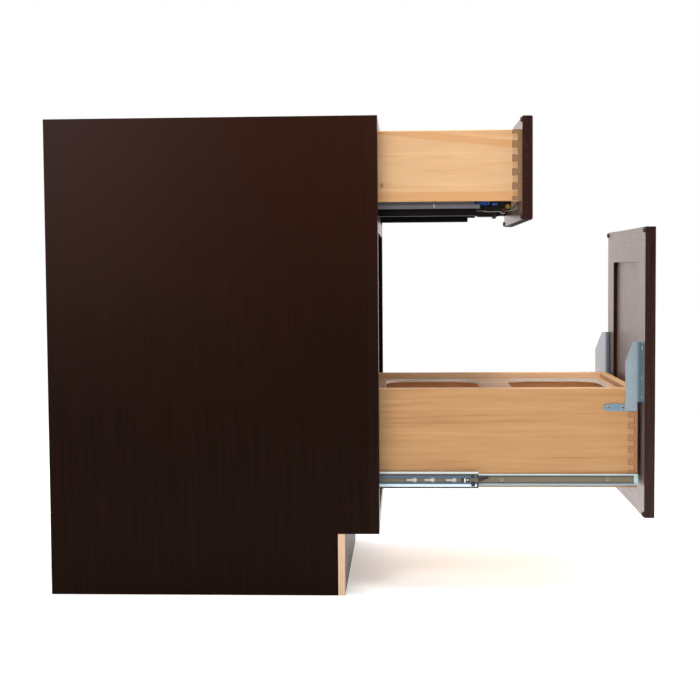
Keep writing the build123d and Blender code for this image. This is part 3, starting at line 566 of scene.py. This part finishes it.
def pullout_joint_lines(tree, colour):
    low, high = (corner.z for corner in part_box("pullout_side_left"))
    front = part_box("pullout_front_board")[0].y
    return joint_lines(tree, colour, front, low, high, PULL_TAIL_PITCH, shadow=rgb(104, 66, 44), darker=0.06)


def pullout_side_with_painted_light(tree, colour):
    """The joint lines, under a paler tone painted on the faces of the pull-out's sides that look inwards, as
    painted light for the shaded inside of the box.
    """
    x = place(tree)[1]
    inner_face = abs(PULL_SIDE.x) - BOARD + INNER_FACE_REACH
    inner = calc(tree, "LESS_THAN", calc(tree, "ABSOLUTE", x), inner_face)
    return tinted(tree, pullout_joint_lines(tree, colour), rgb(250, 212, 172), inner, strength=0.85)


def drawer_side_look(tree, colour):
    return drawer_joint_lines(tree, heartwood(tree, colour))


def runner_with_painted_shade(tree, colour):
    """Painted shade: a darker tone above the carried runner's rolled lip."""
    z = place(tree)[3]
    above = step(tree, z, RUNNER_LIP_TOP - RUNNER_SOFTNESS, RUNNER_LIP_TOP + RUNNER_SOFTNESS)
    return tinted(tree, colour, rgb(40, 40, 40), above, strength=0.55)


# Painted reflections across each slide's rolled section, with painted highlights on the lips and painted
# shade in the creases, as (height above its middle in mm, colour)
MIDDLE_REFLECTIONS = [
    (-15.2, (56, 54, 50)), (-12.6, (48, 46, 42)), (-11.0, (224, 238, 244)), (-7.8, (206, 226, 236)),
    (-6.4, (34, 100, 152)), (-4.6, (74, 67, 54)), (0.0, (104, 93, 66)), (4.4, (72, 66, 54)),
    (6.4, (42, 104, 148)), (8.2, (48, 48, 44)), (12.0, (64, 62, 54)), (13.4, (214, 222, 220)),
]
INNER_REFLECTIONS = [
    (-10.5, (66, 70, 70)), (-9.3, (208, 226, 234)), (-7.9, (170, 190, 200)), (-6.4, (46, 50, 48)),
    (-3.6, (112, 98, 68)), (3.0, (110, 96, 66)), (6.2, (50, 50, 42)), (7.6, (74, 92, 100)),
    (8.8, (208, 226, 234)),
]
SECTION_REACH = 16.0 * MM
SECTION_END = (0.0070, 0.0055)
SECTION_STRENGTH = 0.93


def painted_reflection_bands(tones):
    """A patch of painted reflections across a slide: a brownish middle, painted shade in the creases, painted
    highlights on the bluish lips, and a plain pale front end.
    """
    def patch(tree, colour):
        _, _, y, z = place(tree)
        height = calc(tree, "SUBTRACT", z, SLIDE_Z)
        across = calc(tree, "DIVIDE", calc(tree, "ADD", height, SECTION_REACH), 2 * SECTION_REACH)
        stops = [((h * MM + SECTION_REACH) / (2 * SECTION_REACH), rgb(*tone)) for h, tone in tones]
        reflections = ramp(tree, across, stops, smooth=False)
        end = step(tree, y, SLIDE_LOW.y + SECTION_END[0], SLIDE_LOW.y + SECTION_END[1])
        reflections = mix(tree, end, reflections, rgb(186, 214, 214))
        return mix(tree, SECTION_STRENGTH, colour, reflections)
    return patch


def brown_hook(tree, colour):
    """A brown tone on the clip's hook."""
    _, _, y, z = place(tree)
    behind = calc(tree, "SUBTRACT", y, DRAWER_FRONT_BACK)
    past = calc(tree, "GREATER_THAN", behind, HOOK_DEPTHS[0])
    before = calc(tree, "LESS_THAN", behind, HOOK_DEPTHS[1])
    low = calc(tree, "LESS_THAN", z, CLIP_LOW.z + HOOK_HEIGHT)
    inside = calc(tree, "MULTIPLY", calc(tree, "MULTIPLY", past, before), low)
    return mix(tree, inside, colour, rgb(74, 42, 20))


def stained_toe_face(tree, colour, parts):
    """A stain on the front face of the toe board."""
    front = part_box("toe_kick_board")[0].y
    stained = calc(tree, "LESS_THAN", parts[1], front + TOE_FACE_REACH)
    return mix(tree, stained, colour, rgb(46, 29, 24))


def bracket_tones_and_shade(tree, colour):
    """Bluer tones on a bracket's arm and lower rim, a darker blue on its flange that is partly plating and
    partly painted shade, and painted shade in the bend of the flange.
    """
    _, _, y, z = place(tree)
    behind = calc(tree, "SUBTRACT", y, DOOR_BACK)
    low_part = step(tree, z, BRACKET_LOW + ARM_HEIGHTS[0], BRACKET_LOW + ARM_HEIGHTS[1])
    arm = calc(tree, "MULTIPLY", step(tree, behind, *ARM_DEPTHS), low_part)
    colour = tinted(tree, colour, rgb(84, 122, 150), arm, strength=0.6)
    rim = step(tree, z, BRACKET_LOW + RIM_HEIGHTS[0], BRACKET_LOW + RIM_HEIGHTS[1])
    colour = tinted(tree, colour, rgb(120, 166, 196), rim, strength=0.5)
    flange = step(tree, behind, *FLANGE_DEPTHS)
    colour = tinted(tree, colour, rgb(78, 116, 136), flange, strength=0.7)
    return tinted(tree, colour, rgb(42, 58, 66), within(tree, behind, *BEND_SHADE_BAND), strength=0.75)


def painted_light_inside(tree, colour):
    """The bracket tones over a darker grey painted as shade on the faces that look to the right, which are
    the outer ones; the inner faces keep the bright tint, which is painted light.
    """
    outside = step(tree, signed_facing(tree, "X"), *OUTWARDS_RIGHT)
    return bracket_tones_and_shade(tree, mix(tree, outside, colour, rgb(122, 136, 144)))


def make_materials():
    board_x, board_y, board_z = "X", "Y", "Z"
    maple = (rgb(198, 154, 108), rgb(208, 166, 121), rgb(213, 173, 129))
    honey = (rgb(170, 123, 76), rgb(181, 136, 88), rgb(188, 144, 95))
    inside = (rgb(178, 134, 92), rgb(190, 148, 105), rgb(199, 159, 117))
    # The pull-out bottom's birch is painted paler, as painted light for the shaded inside of the pull-out.
    birch_painted_light = (rgb(216, 180, 138), rgb(228, 194, 154), rgb(236, 205, 168))
    shelf = (rgb(150, 120, 94), rgb(164, 134, 108), rgb(174, 144, 118))
    end_maple, end_honey = rgb(156, 118, 82), rgb(180, 126, 84)
    plies = 7
    thin_plies = 5
    made = {}
    panel_stain = (21, 9, 4), (25, 11, 5), (29, 13, 7)
    frame_stain = (33, 15, 10), (43, 22, 16), (52, 29, 22)
    # The side panels and stiles get painted light towards their top and a painted sheen towards the top of
    # their back.
    made["side"] = espresso("stained veneer", board_z, 1.0, panel_stain, stain_with_painted_sheen, Specular_IOR_Level=0.03)
    made["stile"] = espresso("stained stile", board_z, 1.4, panel_stain, stain_with_painted_sheen, Specular_IOR_Level=0.05)
    # The door's parts, the frame's rails and the drawer front get a painted reflection on the faces that look
    # backwards.
    made["frame_upright"] = espresso("stained upright", board_z, 2.0, frame_stain, backs_with_painted_reflection,
                                     Specular_IOR_Level=0.15)
    made["frame_across"] = espresso("stained rail", board_x, 3.0, frame_stain, backs_with_painted_reflection,
                                    Specular_IOR_Level=0.15)
    made["maple_y"] = wood("maple side", *maple, board_y, end=end_maple, seed=4.0, patches=drawer_side_look,
                           figure_scale=95.0, Specular_IOR_Level=0.4)
    made["maple_x"] = wood("maple across", *maple, board_x, end=end_maple, seed=5.0,
                           patches=drawer_joint_lines, figure_scale=95.0, Specular_IOR_Level=0.4)
    made["honey_y"] = wood("honey side", *honey, board_y, end=end_honey, seed=6.0, patches=pullout_side_with_painted_light,
                           figure_scale=120.0, pore_depth=0.4, stretch=0.03, Specular_IOR_Level=0.4)
    made["honey_x"] = wood("honey across", *honey, board_x, end=end_honey, seed=7.0,
                           patches=pullout_joint_lines, figure_scale=80.0, Specular_IOR_Level=0.4)
    # The platform's cut edges are painted near white, as painted light on edges that stand in shade.
    made["platform"] = plywood("platform plywood", *shelf, board_y, "Z", PLATFORM_LOW.z, PLATFORM_HIGH.z,
                               plies, edge_tones=(rgb(244, 244, 240), rgb(214, 212, 206)), rough=(0.75, 0.85),
                               Specular_IOR_Level=0.1)
    low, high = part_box("drawer_bottom")
    made["drawer_bottom"] = plywood("drawer bottom plywood", *maple, board_y, "Z", low.z, high.z, thin_plies,
                                    seed=1.5)
    low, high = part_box("pullout_bottom")
    made["pullout_bottom"] = plywood("pull-out bottom plywood", *birch_painted_light, board_y, "Z", low.z, high.z,
                                     thin_plies, seed=2.5)
    low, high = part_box("back_panel")
    made["back"] = plywood("back plywood", *inside, board_z, "Y", low.y, high.y, plies, seed=3.5)
    low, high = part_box("deck_panel")
    made["deck"] = plywood("deck plywood", *inside, board_x, "Z", low.z, high.z, plies, seed=4.5)
    low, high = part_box("corner_blocks")
    made["blocks"] = plywood("block plywood", *inside, board_x, "Z", low.z, high.z, plies, seed=5.5)
    low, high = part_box("toe_kick_board")
    made["toe"] = plywood("toe board plywood", *inside, board_x, "Y", low.y, high.y, plies, seed=6.5,
                          face=stained_toe_face, edge_tones=(rgb(225, 196, 167), rgb(196, 162, 127)))
    made["nailer"] = wood("nailer", *inside, board_x, seed=8.0)
    made["spacer"] = wood("spacer", *inside, board_y, seed=9.0)
    made["zinc_bracket"] = steel("zinc bracket", rgb(146, 161, 169), board_z, metallic=0.35,
                                 patches=bracket_tones_and_shade)
    # The right bracket's bright tint is painted light on its inner face, which stands in the drawer's shade.
    made["zinc_bracket_painted_light"] = steel("zinc bracket, painted light", rgb(228, 243, 255), board_z, metallic=0.0,
                                        seed=3.0, patches=painted_light_inside)
    made["slide_outer"] = steel("zinc slide, fixed", rgb(172, 182, 186), board_y, metallic=0.7)
    # The middle and carried slide members get bands of painted reflection, highlight and shade.
    made["slide_middle"] = steel("zinc slide, middle", rgb(172, 182, 186), board_y, metallic=0.35,
                                 patches=painted_reflection_bands(MIDDLE_REFLECTIONS))
    made["slide_inner"] = steel("zinc slide, carried", rgb(172, 182, 186), board_y, metallic=0.35,
                                patches=painted_reflection_bands(INNER_REFLECTIONS))
    made["grey_steel"] = steel("grey steel", rgb(112, 112, 120), board_y, metallic=0.4, rough=(0.35, 0.5),
                               patches=runner_with_painted_shade)
    # The middle runners' near-black tone is painted shade, the shade they stand in under the drawer.
    made["dark_steel"] = steel("dark steel", rgb(13, 10, 9), board_y, metallic=0.1, rough=(0.5, 0.65),
                               Specular_IOR_Level=0.08)
    made["screws"] = steel("screw steel", rgb(186, 182, 164), board_z, metallic=0.85, scratch=0.2)
    made["balls"] = steel("ball steel", rgb(160, 162, 160), board_y, metallic=0.95, rough=(0.15, 0.3))
    made["black_plastic"] = plastic("black plastic", rgb(24, 23, 24))
    made["clip_plastic"] = plastic("clip plastic", rgb(15, 13, 13), patches=brown_hook, seed=1.0,
                                   Specular_IOR_Level=0.2)
    made["blue_plastic"] = plastic("blue plastic", rgb(3, 84, 170), seed=2.0)
    made["yellow_plastic"] = plastic("yellow plastic", rgb(150, 126, 8), seed=3.0)
    made["rubber"] = plastic("bumper rubber", rgb(16, 14, 14), rough=(0.55, 0.7), seed=4.0)
    # Bright steel for the slides' rivets and collars, and for the runners' punched tabs, where its brightness
    # is a painted highlight.
    made["bright_steel_and_highlight"] = steel("bright steel and painted highlight", rgb(216, 220, 220), board_y, metallic=0.3)
    # The dark recess steel is painted shade, the shade inside the screws' cross recesses.
    made["recess"] = steel("recess", rgb(34, 34, 36), board_y, metallic=0.2)
    made["clip_plate"] = steel("clip plate", rgb(150, 132, 118), board_z, metallic=0.3, rough=(0.4, 0.55))
    return made


LOOKS = {
    "side": ["side_panel_left", "side_panel_right"],
    "stile": ["face_frame_stile_left", "face_frame_stile_right"],
    "frame_upright": ["door_stile_left", "door_stile_right", "door_panel"],
    "frame_across": ["face_frame_bottom_rail", "face_frame_middle_rail", "face_frame_top_rail",
                     "drawer_front", "door_bottom_rail", "door_top_rail"],
    "maple_y": ["drawer_side_left", "drawer_side_right"],
    "maple_x": ["drawer_box_front", "drawer_box_back"],
    "drawer_bottom": ["drawer_bottom"],
    "honey_y": ["pullout_side_left", "pullout_side_right"],
    "honey_x": ["pullout_front_board", "pullout_back_board"],
    "pullout_bottom": ["pullout_bottom"],
    "platform": ["bin_platform"],
    "back": ["back_panel"],
    "deck": ["deck_panel"],
    "blocks": ["corner_blocks"],
    "toe": ["toe_kick_board"],
    "nailer": ["rear_nailer"],
    "spacer": ["slide_spacer_rails"],
    "zinc_bracket": ["door_bracket_left"],
    "zinc_bracket_painted_light": ["door_bracket_right"],
    "slide_outer": ["pullout_slide_outer_left", "pullout_slide_outer_right"],
    "slide_middle": ["pullout_slide_middle_left", "pullout_slide_middle_right"],
    "slide_inner": ["pullout_slide_inner_left", "pullout_slide_inner_right"],
    "grey_steel": [f"drawer_runner_{part}_{side}" for part in ("fixed", "carried") for side, _ in SIDES],
    "dark_steel": ["drawer_runner_middle_left", "drawer_runner_middle_right"],
    "screws": ["cabinet_slide_screws", "pullout_screws", "drawer_front_screws"],
    "balls": ["runner_lower_ball_cages", "runner_upper_ball_cages", "slide_outer_ball_cages",
              "slide_inner_ball_cages"],
    "black_plastic": ["drawer_runner_rear_brackets", "pullout_release_lever_left",
                      "pullout_release_lever_right"],
    "clip_plastic": ["drawer_clips"],
    "blue_plastic": ["drawer_clip_lever_left", "drawer_clip_lever_right"],
    "yellow_plastic": ["drawer_clip_wheels"],
    "rubber": ["door_bumpers", "drawer_front_bumpers"],
}

# Width of a piece's eased edges in millimetres, by look
EASED = {
    "side": 0.4, "stile": 0.4, "frame_upright": 0.6, "frame_across": 0.6, "maple_y": 0.25, "maple_x": 0.25,
    "honey_y": 0.25, "honey_x": 0.25, "platform": 0.5, "toe": 0.3, "deck": 0.3, "back": 0.3,
    "slide_middle": 0.6, "slide_inner": 0.6,
}
SHARPEST_KEPT = math.radians(40)


def ease_edges(thing, width):
    """Rounds the sharp edges of a piece a little."""
    bevel = thing.modifiers.new("eased edges", "BEVEL")
    bevel.width = width
    bevel.segments = 2
    bevel.limit_method = "ANGLE"
    bevel.angle_limit = SHARPEST_KEPT
    bevel.harden_normals = True


def dress_nodes(looks):
    for look, names in LOOKS.items():
        for name in names:
            thing = NODES[name]
            thing.data.materials.clear()
            thing.data.materials.append(looks[look])
            if look in EASED:
                ease_edges(thing, EASED[look] * MM)


# Small pieces


def piece(name, mesh_maker, look, body):
    """A new object made by mesh_maker(bmesh), with a material, riding on a body."""
    mesh = bpy.data.meshes.new(name)
    shape = bmesh.new()
    mesh_maker(shape)
    bmesh.ops.recalc_face_normals(shape, faces=shape.faces)
    shape.to_mesh(mesh)
    shape.free()
    thing = bpy.data.objects.new(name, mesh)
    bpy.context.scene.collection.objects.link(thing)
    thing.data.materials.append(look)
    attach(thing, body)
    return thing


def prism(shape, outline, x0, x1):
    """Adds a solid to a bmesh: an outline of (y, z) points carried from x0 to x1."""
    start = [shape.verts.new((x0, y, z)) for y, z in outline]
    end = [shape.verts.new((x1, y, z)) for y, z in outline]
    shape.faces.new(start)
    shape.faces.new(end)
    for i in range(len(outline)):
        j = (i + 1) % len(outline)
        shape.faces.new((start[i], start[j], end[j], end[i]))


def rounded(y0, y1, z0, z1, radius, points=5):
    """A rectangle of (y, z) points with rounded corners."""
    corners = ((y1 - radius, z1 - radius, 0), (y0 + radius, z1 - radius, 1), (y0 + radius, z0 + radius, 2),
               (y1 - radius, z0 + radius, 3))
    outline = []
    for y, z, quarter in corners:
        for i in range(points):
            angle = math.pi / 2 * (quarter + i / (points - 1))
            outline.append((y + radius * math.cos(angle), z + radius * math.sin(angle)))
    return outline


def mirrored(sign, shapes):
    """A mesh maker for prisms on the left or the right, whose x counts outwards from the middle."""
    def make(shape):
        for outline, x0, x1 in shapes:
            prism(shape, outline, sign * x0, sign * x1)
    return make


def disc(y, z, radius, points=20):
    """A circle of (y, z) points."""
    turns = [2 * math.pi * i / points for i in range(points)]
    return [(y + radius * math.cos(t), z + radius * math.sin(t)) for t in turns]


def cross(y, z, reach, half):
    """The outline of a cross-shaped screw recess."""
    outline = []
    for cos, sin in ((1, 0), (0, 1), (-1, 0), (0, -1)):
        for a, b in ((reach, half), (half, half), (half, reach)):
            outline.append((y + a * cos - b * sin, z + a * sin + b * cos))
    return outline


def make_side_pieces(name, shapes, looks, look, body, eased):
    """A left piece and its mirrored right one, from (outline, inner x, outer x) in metres from the middle."""
    for side, sign in SIDES:
        made = piece(f"{name}_{side}", mirrored(sign, shapes), looks[look], body.format(side))
        if eased:
            ease_edges(made, eased * MM)


# The drawer clips' details in millimetres. Depths count back from the drawer front, heights up from the
# clip's low edge, drops down from the underside of the drawer's sides, and reaches outwards from a plane
# CLIP_FACE outside the wheels
CLIP_FACE = 0.8
PLATE_DEPTHS = (0.6, 14.6)
PLATE_HEIGHT = 6.2
PLATE_DROP = 0.6
PLATE_CORNER = 1.0
PLATE_REACH = 0.9
RIB_CORNERS = ((1.0, 2.5), (2.6, 1.2), (14.2, 12.4), (12.6, 13.7))
RIB_REACH = 1.7
TAB_DEPTHS = (39, 50)
TAB_HEIGHTS = (15, 19)
TAB_CORNER = 0.8
TAB_REACHES = (-3.8, 1.2)
CAP_RADIUS = 3.2
CAP_REACHES = (-2.8, -0.2)


def make_clip_details(looks):
    """The plate and rib at the front of each drawer clip, its small blue adjuster and its wheel's cap."""
    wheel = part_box("drawer_clip_wheels")
    outer = abs(wheel[0].x) + CLIP_FACE * MM

    def depth(value):
        return DRAWER_FRONT_BACK + value * MM

    def height(value):
        return CLIP_LOW.z + value * MM

    def drop(value):
        return DRAWER_UNDERSIDE - value * MM

    def reach(value):
        return outer + value * MM

    plate = rounded(depth(PLATE_DEPTHS[0]), depth(PLATE_DEPTHS[1]), height(PLATE_HEIGHT), drop(PLATE_DROP),
                    PLATE_CORNER * MM)
    make_side_pieces("clip_plate", [(plate, outer, reach(PLATE_REACH))], looks, "clip_plate", "drawer",
                     0.25)
    rib = [(depth(y), drop(z)) for y, z in RIB_CORNERS]
    make_side_pieces("clip_rib", [(rib, outer, reach(RIB_REACH))], looks, "black_plastic", "drawer",
                     0.2)
    tab = rounded(*[depth(y) for y in TAB_DEPTHS], *[height(z) for z in TAB_HEIGHTS], TAB_CORNER * MM)
    make_side_pieces("clip_adjuster", [(tab, *[reach(x) for x in TAB_REACHES])], looks, "blue_plastic",
                     "drawer", 0.3)
    middle = (wheel[0] + wheel[1]) / 2
    cap = disc(middle.y, middle.z, CAP_RADIUS * MM)
    make_side_pieces("clip_wheel_cap", [(cap, *[reach(x) for x in CAP_REACHES])], looks, "yellow_plastic",
                     "drawer", 0.5)


# What is set in the front end of a middle slide member, in millimetres. Blocks: depths behind its front
# end, heights from its middle, and corner radius. Round pieces: depth, height and radius
STOP_BLOCKS = (
    (0.2, 3.0, 4.4, 10.6, 1.2),
    (0.2, 3.0, -12.2, -2.6, 1.2),
    (7.2, 14.4, 4.2, 10.2, 2.4),
    (6.2, 13.6, -11.4, -2.0, 2.6),
    (27.0, 31.4, -4.2, 4.2, 1.8),
)
STOP_ROUND = (19.8, 0, 3.6)
RIVET = (20.2, 0.8, 1.5)
COLLAR = (23.8, 26.6, -4.0, 4.0, 1.2)
STOP_SUNK = 1.6
STOP_PROUD = 0.45
RIVET_PROUD = 0.2


def make_slide_stops(looks):
    """Black stops, a bright rivet and a bright collar set in the front end of each middle slide member."""
    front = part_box("pullout_slide_middle_left")[0].y
    base = MIDDLE_WEB_OUTSIDE - STOP_SUNK * MM
    face = MIDDLE_WEB_OUTSIDE + STOP_PROUD * MM

    def block(behind0, behind1, z0, z1, radius):
        return rounded(front + behind0 * MM, front + behind1 * MM, SLIDE_Z + z0 * MM, SLIDE_Z + z1 * MM,
                       radius * MM)

    def button(behind, height, radius):
        return disc(front + behind * MM, SLIDE_Z + height * MM, radius * MM)

    stops = [block(*sizes) for sizes in STOP_BLOCKS] + [button(*STOP_ROUND)]
    make_side_pieces("slide_stops", [(outline, base, face) for outline in stops], looks, "black_plastic",
                     "pullout_middle_{}", 0.25)
    bright = [(button(*RIVET), base, face + RIVET_PROUD * MM), (block(*COLLAR), base, face)]
    make_side_pieces("slide_rivet", bright, looks, "bright_steel_and_highlight", "pullout_middle_{}", 0.2)


# The punched tab on a carried runner: its place in metres, and its corners and reaches from there in
# millimetres
CATCH_Y = -0.7137
CATCH_Z = 0.7120
CATCH_CORNERS = ((-1.0, 0), (0.8, 0), (2.4, 6.4), (1.0, 6.4))
CATCH_REACHES = (-0.8, 0.3)


def make_runner_catch(looks):
    """A punched tab on the outside of each carried runner, bright as a painted highlight."""
    tab = [(CATCH_Y + y * MM, CATCH_Z + z * MM) for y, z in CATCH_CORNERS]
    inner, outer = (RUNNER_OUTSIDE + x * MM for x in CATCH_REACHES)
    make_side_pieces("runner_catch", [(tab, inner, outer)], looks, "bright_steel_and_highlight", "drawer",
                     0.1)


def outermost(node, y, z, radius):
    """How far out a node reaches in x around a place on its left side."""
    reach = [abs(v.co.x) for v in NODES[node].data.vertices if math.hypot(v.co.y - y, v.co.z - z) < radius]
    return max(reach)


# The pull-out's screws in millimetres: depths behind the slide's front end or the door's back, and the
# height above the bracket's low edge. Then how far round a screw to look for its head, and the dark
# cross painted as shade in its recess
SLIDE_SCREW_DEPTHS = (54.0, 250.0)
BRACKET_SCREW_DEPTHS = (36.0, 62.5)
BRACKET_SCREW_HEIGHT = 6.5
HEAD_SEARCH = 5
RECESS_REACH = 2.2
RECESS_HALF = 0.75
RECESS_SUNK = 0.6
RECESS_PROUD = 0.08


def make_screw_recesses(looks):
    """Dark crosses set in the heads of the screws in the pull-out's slides and brackets, as painted shade
    standing for their cross recesses.
    """
    seats = [(SLIDE_LOW.y + behind * MM, SLIDE_Z) for behind in SLIDE_SCREW_DEPTHS]
    bracket_z = BRACKET_LOW + BRACKET_SCREW_HEIGHT * MM
    seats += [(DOOR_BACK + behind * MM, bracket_z) for behind in BRACKET_SCREW_DEPTHS]
    shapes = []
    for y, z in seats:
        face = outermost("pullout_screws", y, z, HEAD_SEARCH * MM)
        outline = cross(y, z, RECESS_REACH * MM, RECESS_HALF * MM)
        shapes.append((outline, face - RECESS_SUNK * MM, face + RECESS_PROUD * MM))
    make_side_pieces("screw_recesses", shapes, looks, "recess", "pullout", 0)


# Studio


def stage_mesh(name, mesh_maker, look):
    mesh = bpy.data.meshes.new(name)
    shape = bmesh.new()
    mesh_maker(shape)
    shape.to_mesh(mesh)
    shape.free()
    thing = bpy.data.objects.new(name, mesh)
    bpy.context.scene.collection.objects.link(thing)
    thing.data.materials.append(look)
    return thing


def glow(name, strength):
    made = bpy.data.materials.new(name)
    made.use_nodes = True
    tree = made.node_tree
    tree.nodes.clear()
    light = add(tree, "Emission", {"Color": WHITE, "Strength": strength})
    out = add(tree, "OutputMaterial", {"Surface": light.outputs[0]})
    out.is_active_output = True
    return made


FLOOR_SIZE = 14.0
FLOOR_EDGE = (1.5, 3.0)
FLOOR_GLOW = (0.32, 1.0)
FLOOR_TONES = ((0.90, 0.90, 0.90, 1), (0.92, 0.92, 0.92, 1))
BACKDROP_RADIUS = 30.0
WHITE = (1, 1, 1, 1)
BLACK = (0, 0, 0, 1)

# The world's strength from left to right, and its tint
WORLD_SPAN = (-0.7, 0.6)
WORLD_LEVELS = (0.30, 1.35)
WORLD_TINT = (1, 0.95, 0.94, 1)

# Soft lights: name, place, what they aim at, width and height in metres, and power in watts
LIGHTS = (
    ("key light", (-1.9, -0.3, 2.1), (-0.2, -0.55, 0.5), (0.8, 0.8), 21),
    ("rear left light", (-2.6, 0.75, 1.5), (-0.2, -0.4, 0.5), (0.5, 0.7), 8),
    ("overhead light", (-0.1, -1.0, 2.2), (0, -0.85, 0.3), (0.7, 0.7), 34),
    ("front light", (-0.6, -3.4, 2.2), (0, -0.6, 0.4), (1.8, 1.2), 22),
    ("right light", (2.6, -0.6, 2.4), (0, -0.4, 0.4), (1.6, 1.6), 13),
    ("back light", (0.4, 2.6, 2.2), (0, -0.2, 0.4), (1.6, 1.2), 12),
)


def make_floor():
    """A pale floor that brightens with distance until it meets the white surround."""
    made, tree, surface_node = material("pale floor", Roughness=0.9, Specular_IOR_Level=0.1)
    point, x, y, _ = place(tree)
    cloud = noise(tree, point, scale=1.5, detail=2.0)
    far = step(tree, diagonal(tree, x, y), *FLOOR_EDGE)
    connect(
        tree,
        surface_node,
        Base_Color=mix(tree, far, mix(tree, cloud, *FLOOR_TONES), BLACK),
        Emission_Strength=rescale(tree, far, *FLOOR_GLOW),
    )
    surface_node.inputs["Emission Color"].default_value = WHITE

    def circle(shape):
        bmesh.ops.create_circle(shape, cap_ends=True, segments=96, radius=FLOOR_SIZE)

    stage_mesh("floor", circle, made)


def make_backdrop():
    """A white surround that only the camera sees."""
    def ball(shape):
        bmesh.ops.create_uvsphere(shape, u_segments=48, v_segments=24, radius=BACKDROP_RADIUS)

    sphere = stage_mesh("backdrop", ball, glow("backdrop white", 1.0))
    for ray in ("diffuse", "glossy", "transmission", "volume_scatter", "shadow"):
        setattr(sphere, "visible_" + ray, False)


def softbox(name, place_at, aim_at, size, power):
    light = bpy.data.lights.new(name, "AREA")
    light.shape = "RECTANGLE"
    light.size, light.size_y = size
    light.energy = power
    lamp = bpy.data.objects.new(name, light)
    lamp.location = place_at
    lamp.rotation_euler = (Vector(aim_at) - Vector(place_at)).to_track_quat("-Z", "Y").to_euler()
    bpy.context.scene.collection.objects.link(lamp)


def make_world():
    """Soft light all round, dimmer on the side that the cabinet's left panel faces."""
    world = bpy.data.worlds.new("studio")
    world.use_nodes = True
    tree = world.node_tree
    direction = add(tree, "TexCoord").outputs["Generated"]
    x = add(tree, "SeparateXYZ", {0: direction}).outputs[0]
    inputs = {
        "Value": x,
        "From Min": WORLD_SPAN[0],
        "From Max": WORLD_SPAN[1],
        "To Min": WORLD_LEVELS[0],
        "To Max": WORLD_LEVELS[1],
    }
    level = add(tree, "MapRange", inputs, interpolation_type="SMOOTHSTEP").outputs["Result"]
    tree.links.new(level, tree.nodes["Background"].inputs["Strength"])
    tree.nodes["Background"].inputs["Color"].default_value = WORLD_TINT
    bpy.context.scene.world = world


def make_studio():
    make_floor()
    make_backdrop()
    make_world()
    for light in LIGHTS:
        softbox(*light)
    bpy.context.scene.view_settings.view_transform = "Standard"


make_camera()
looks = make_materials()
dress_nodes(looks)
make_clip_details(looks)
make_slide_stops(looks)
make_runner_catch(looks)
make_screw_recesses(looks)
make_studio()
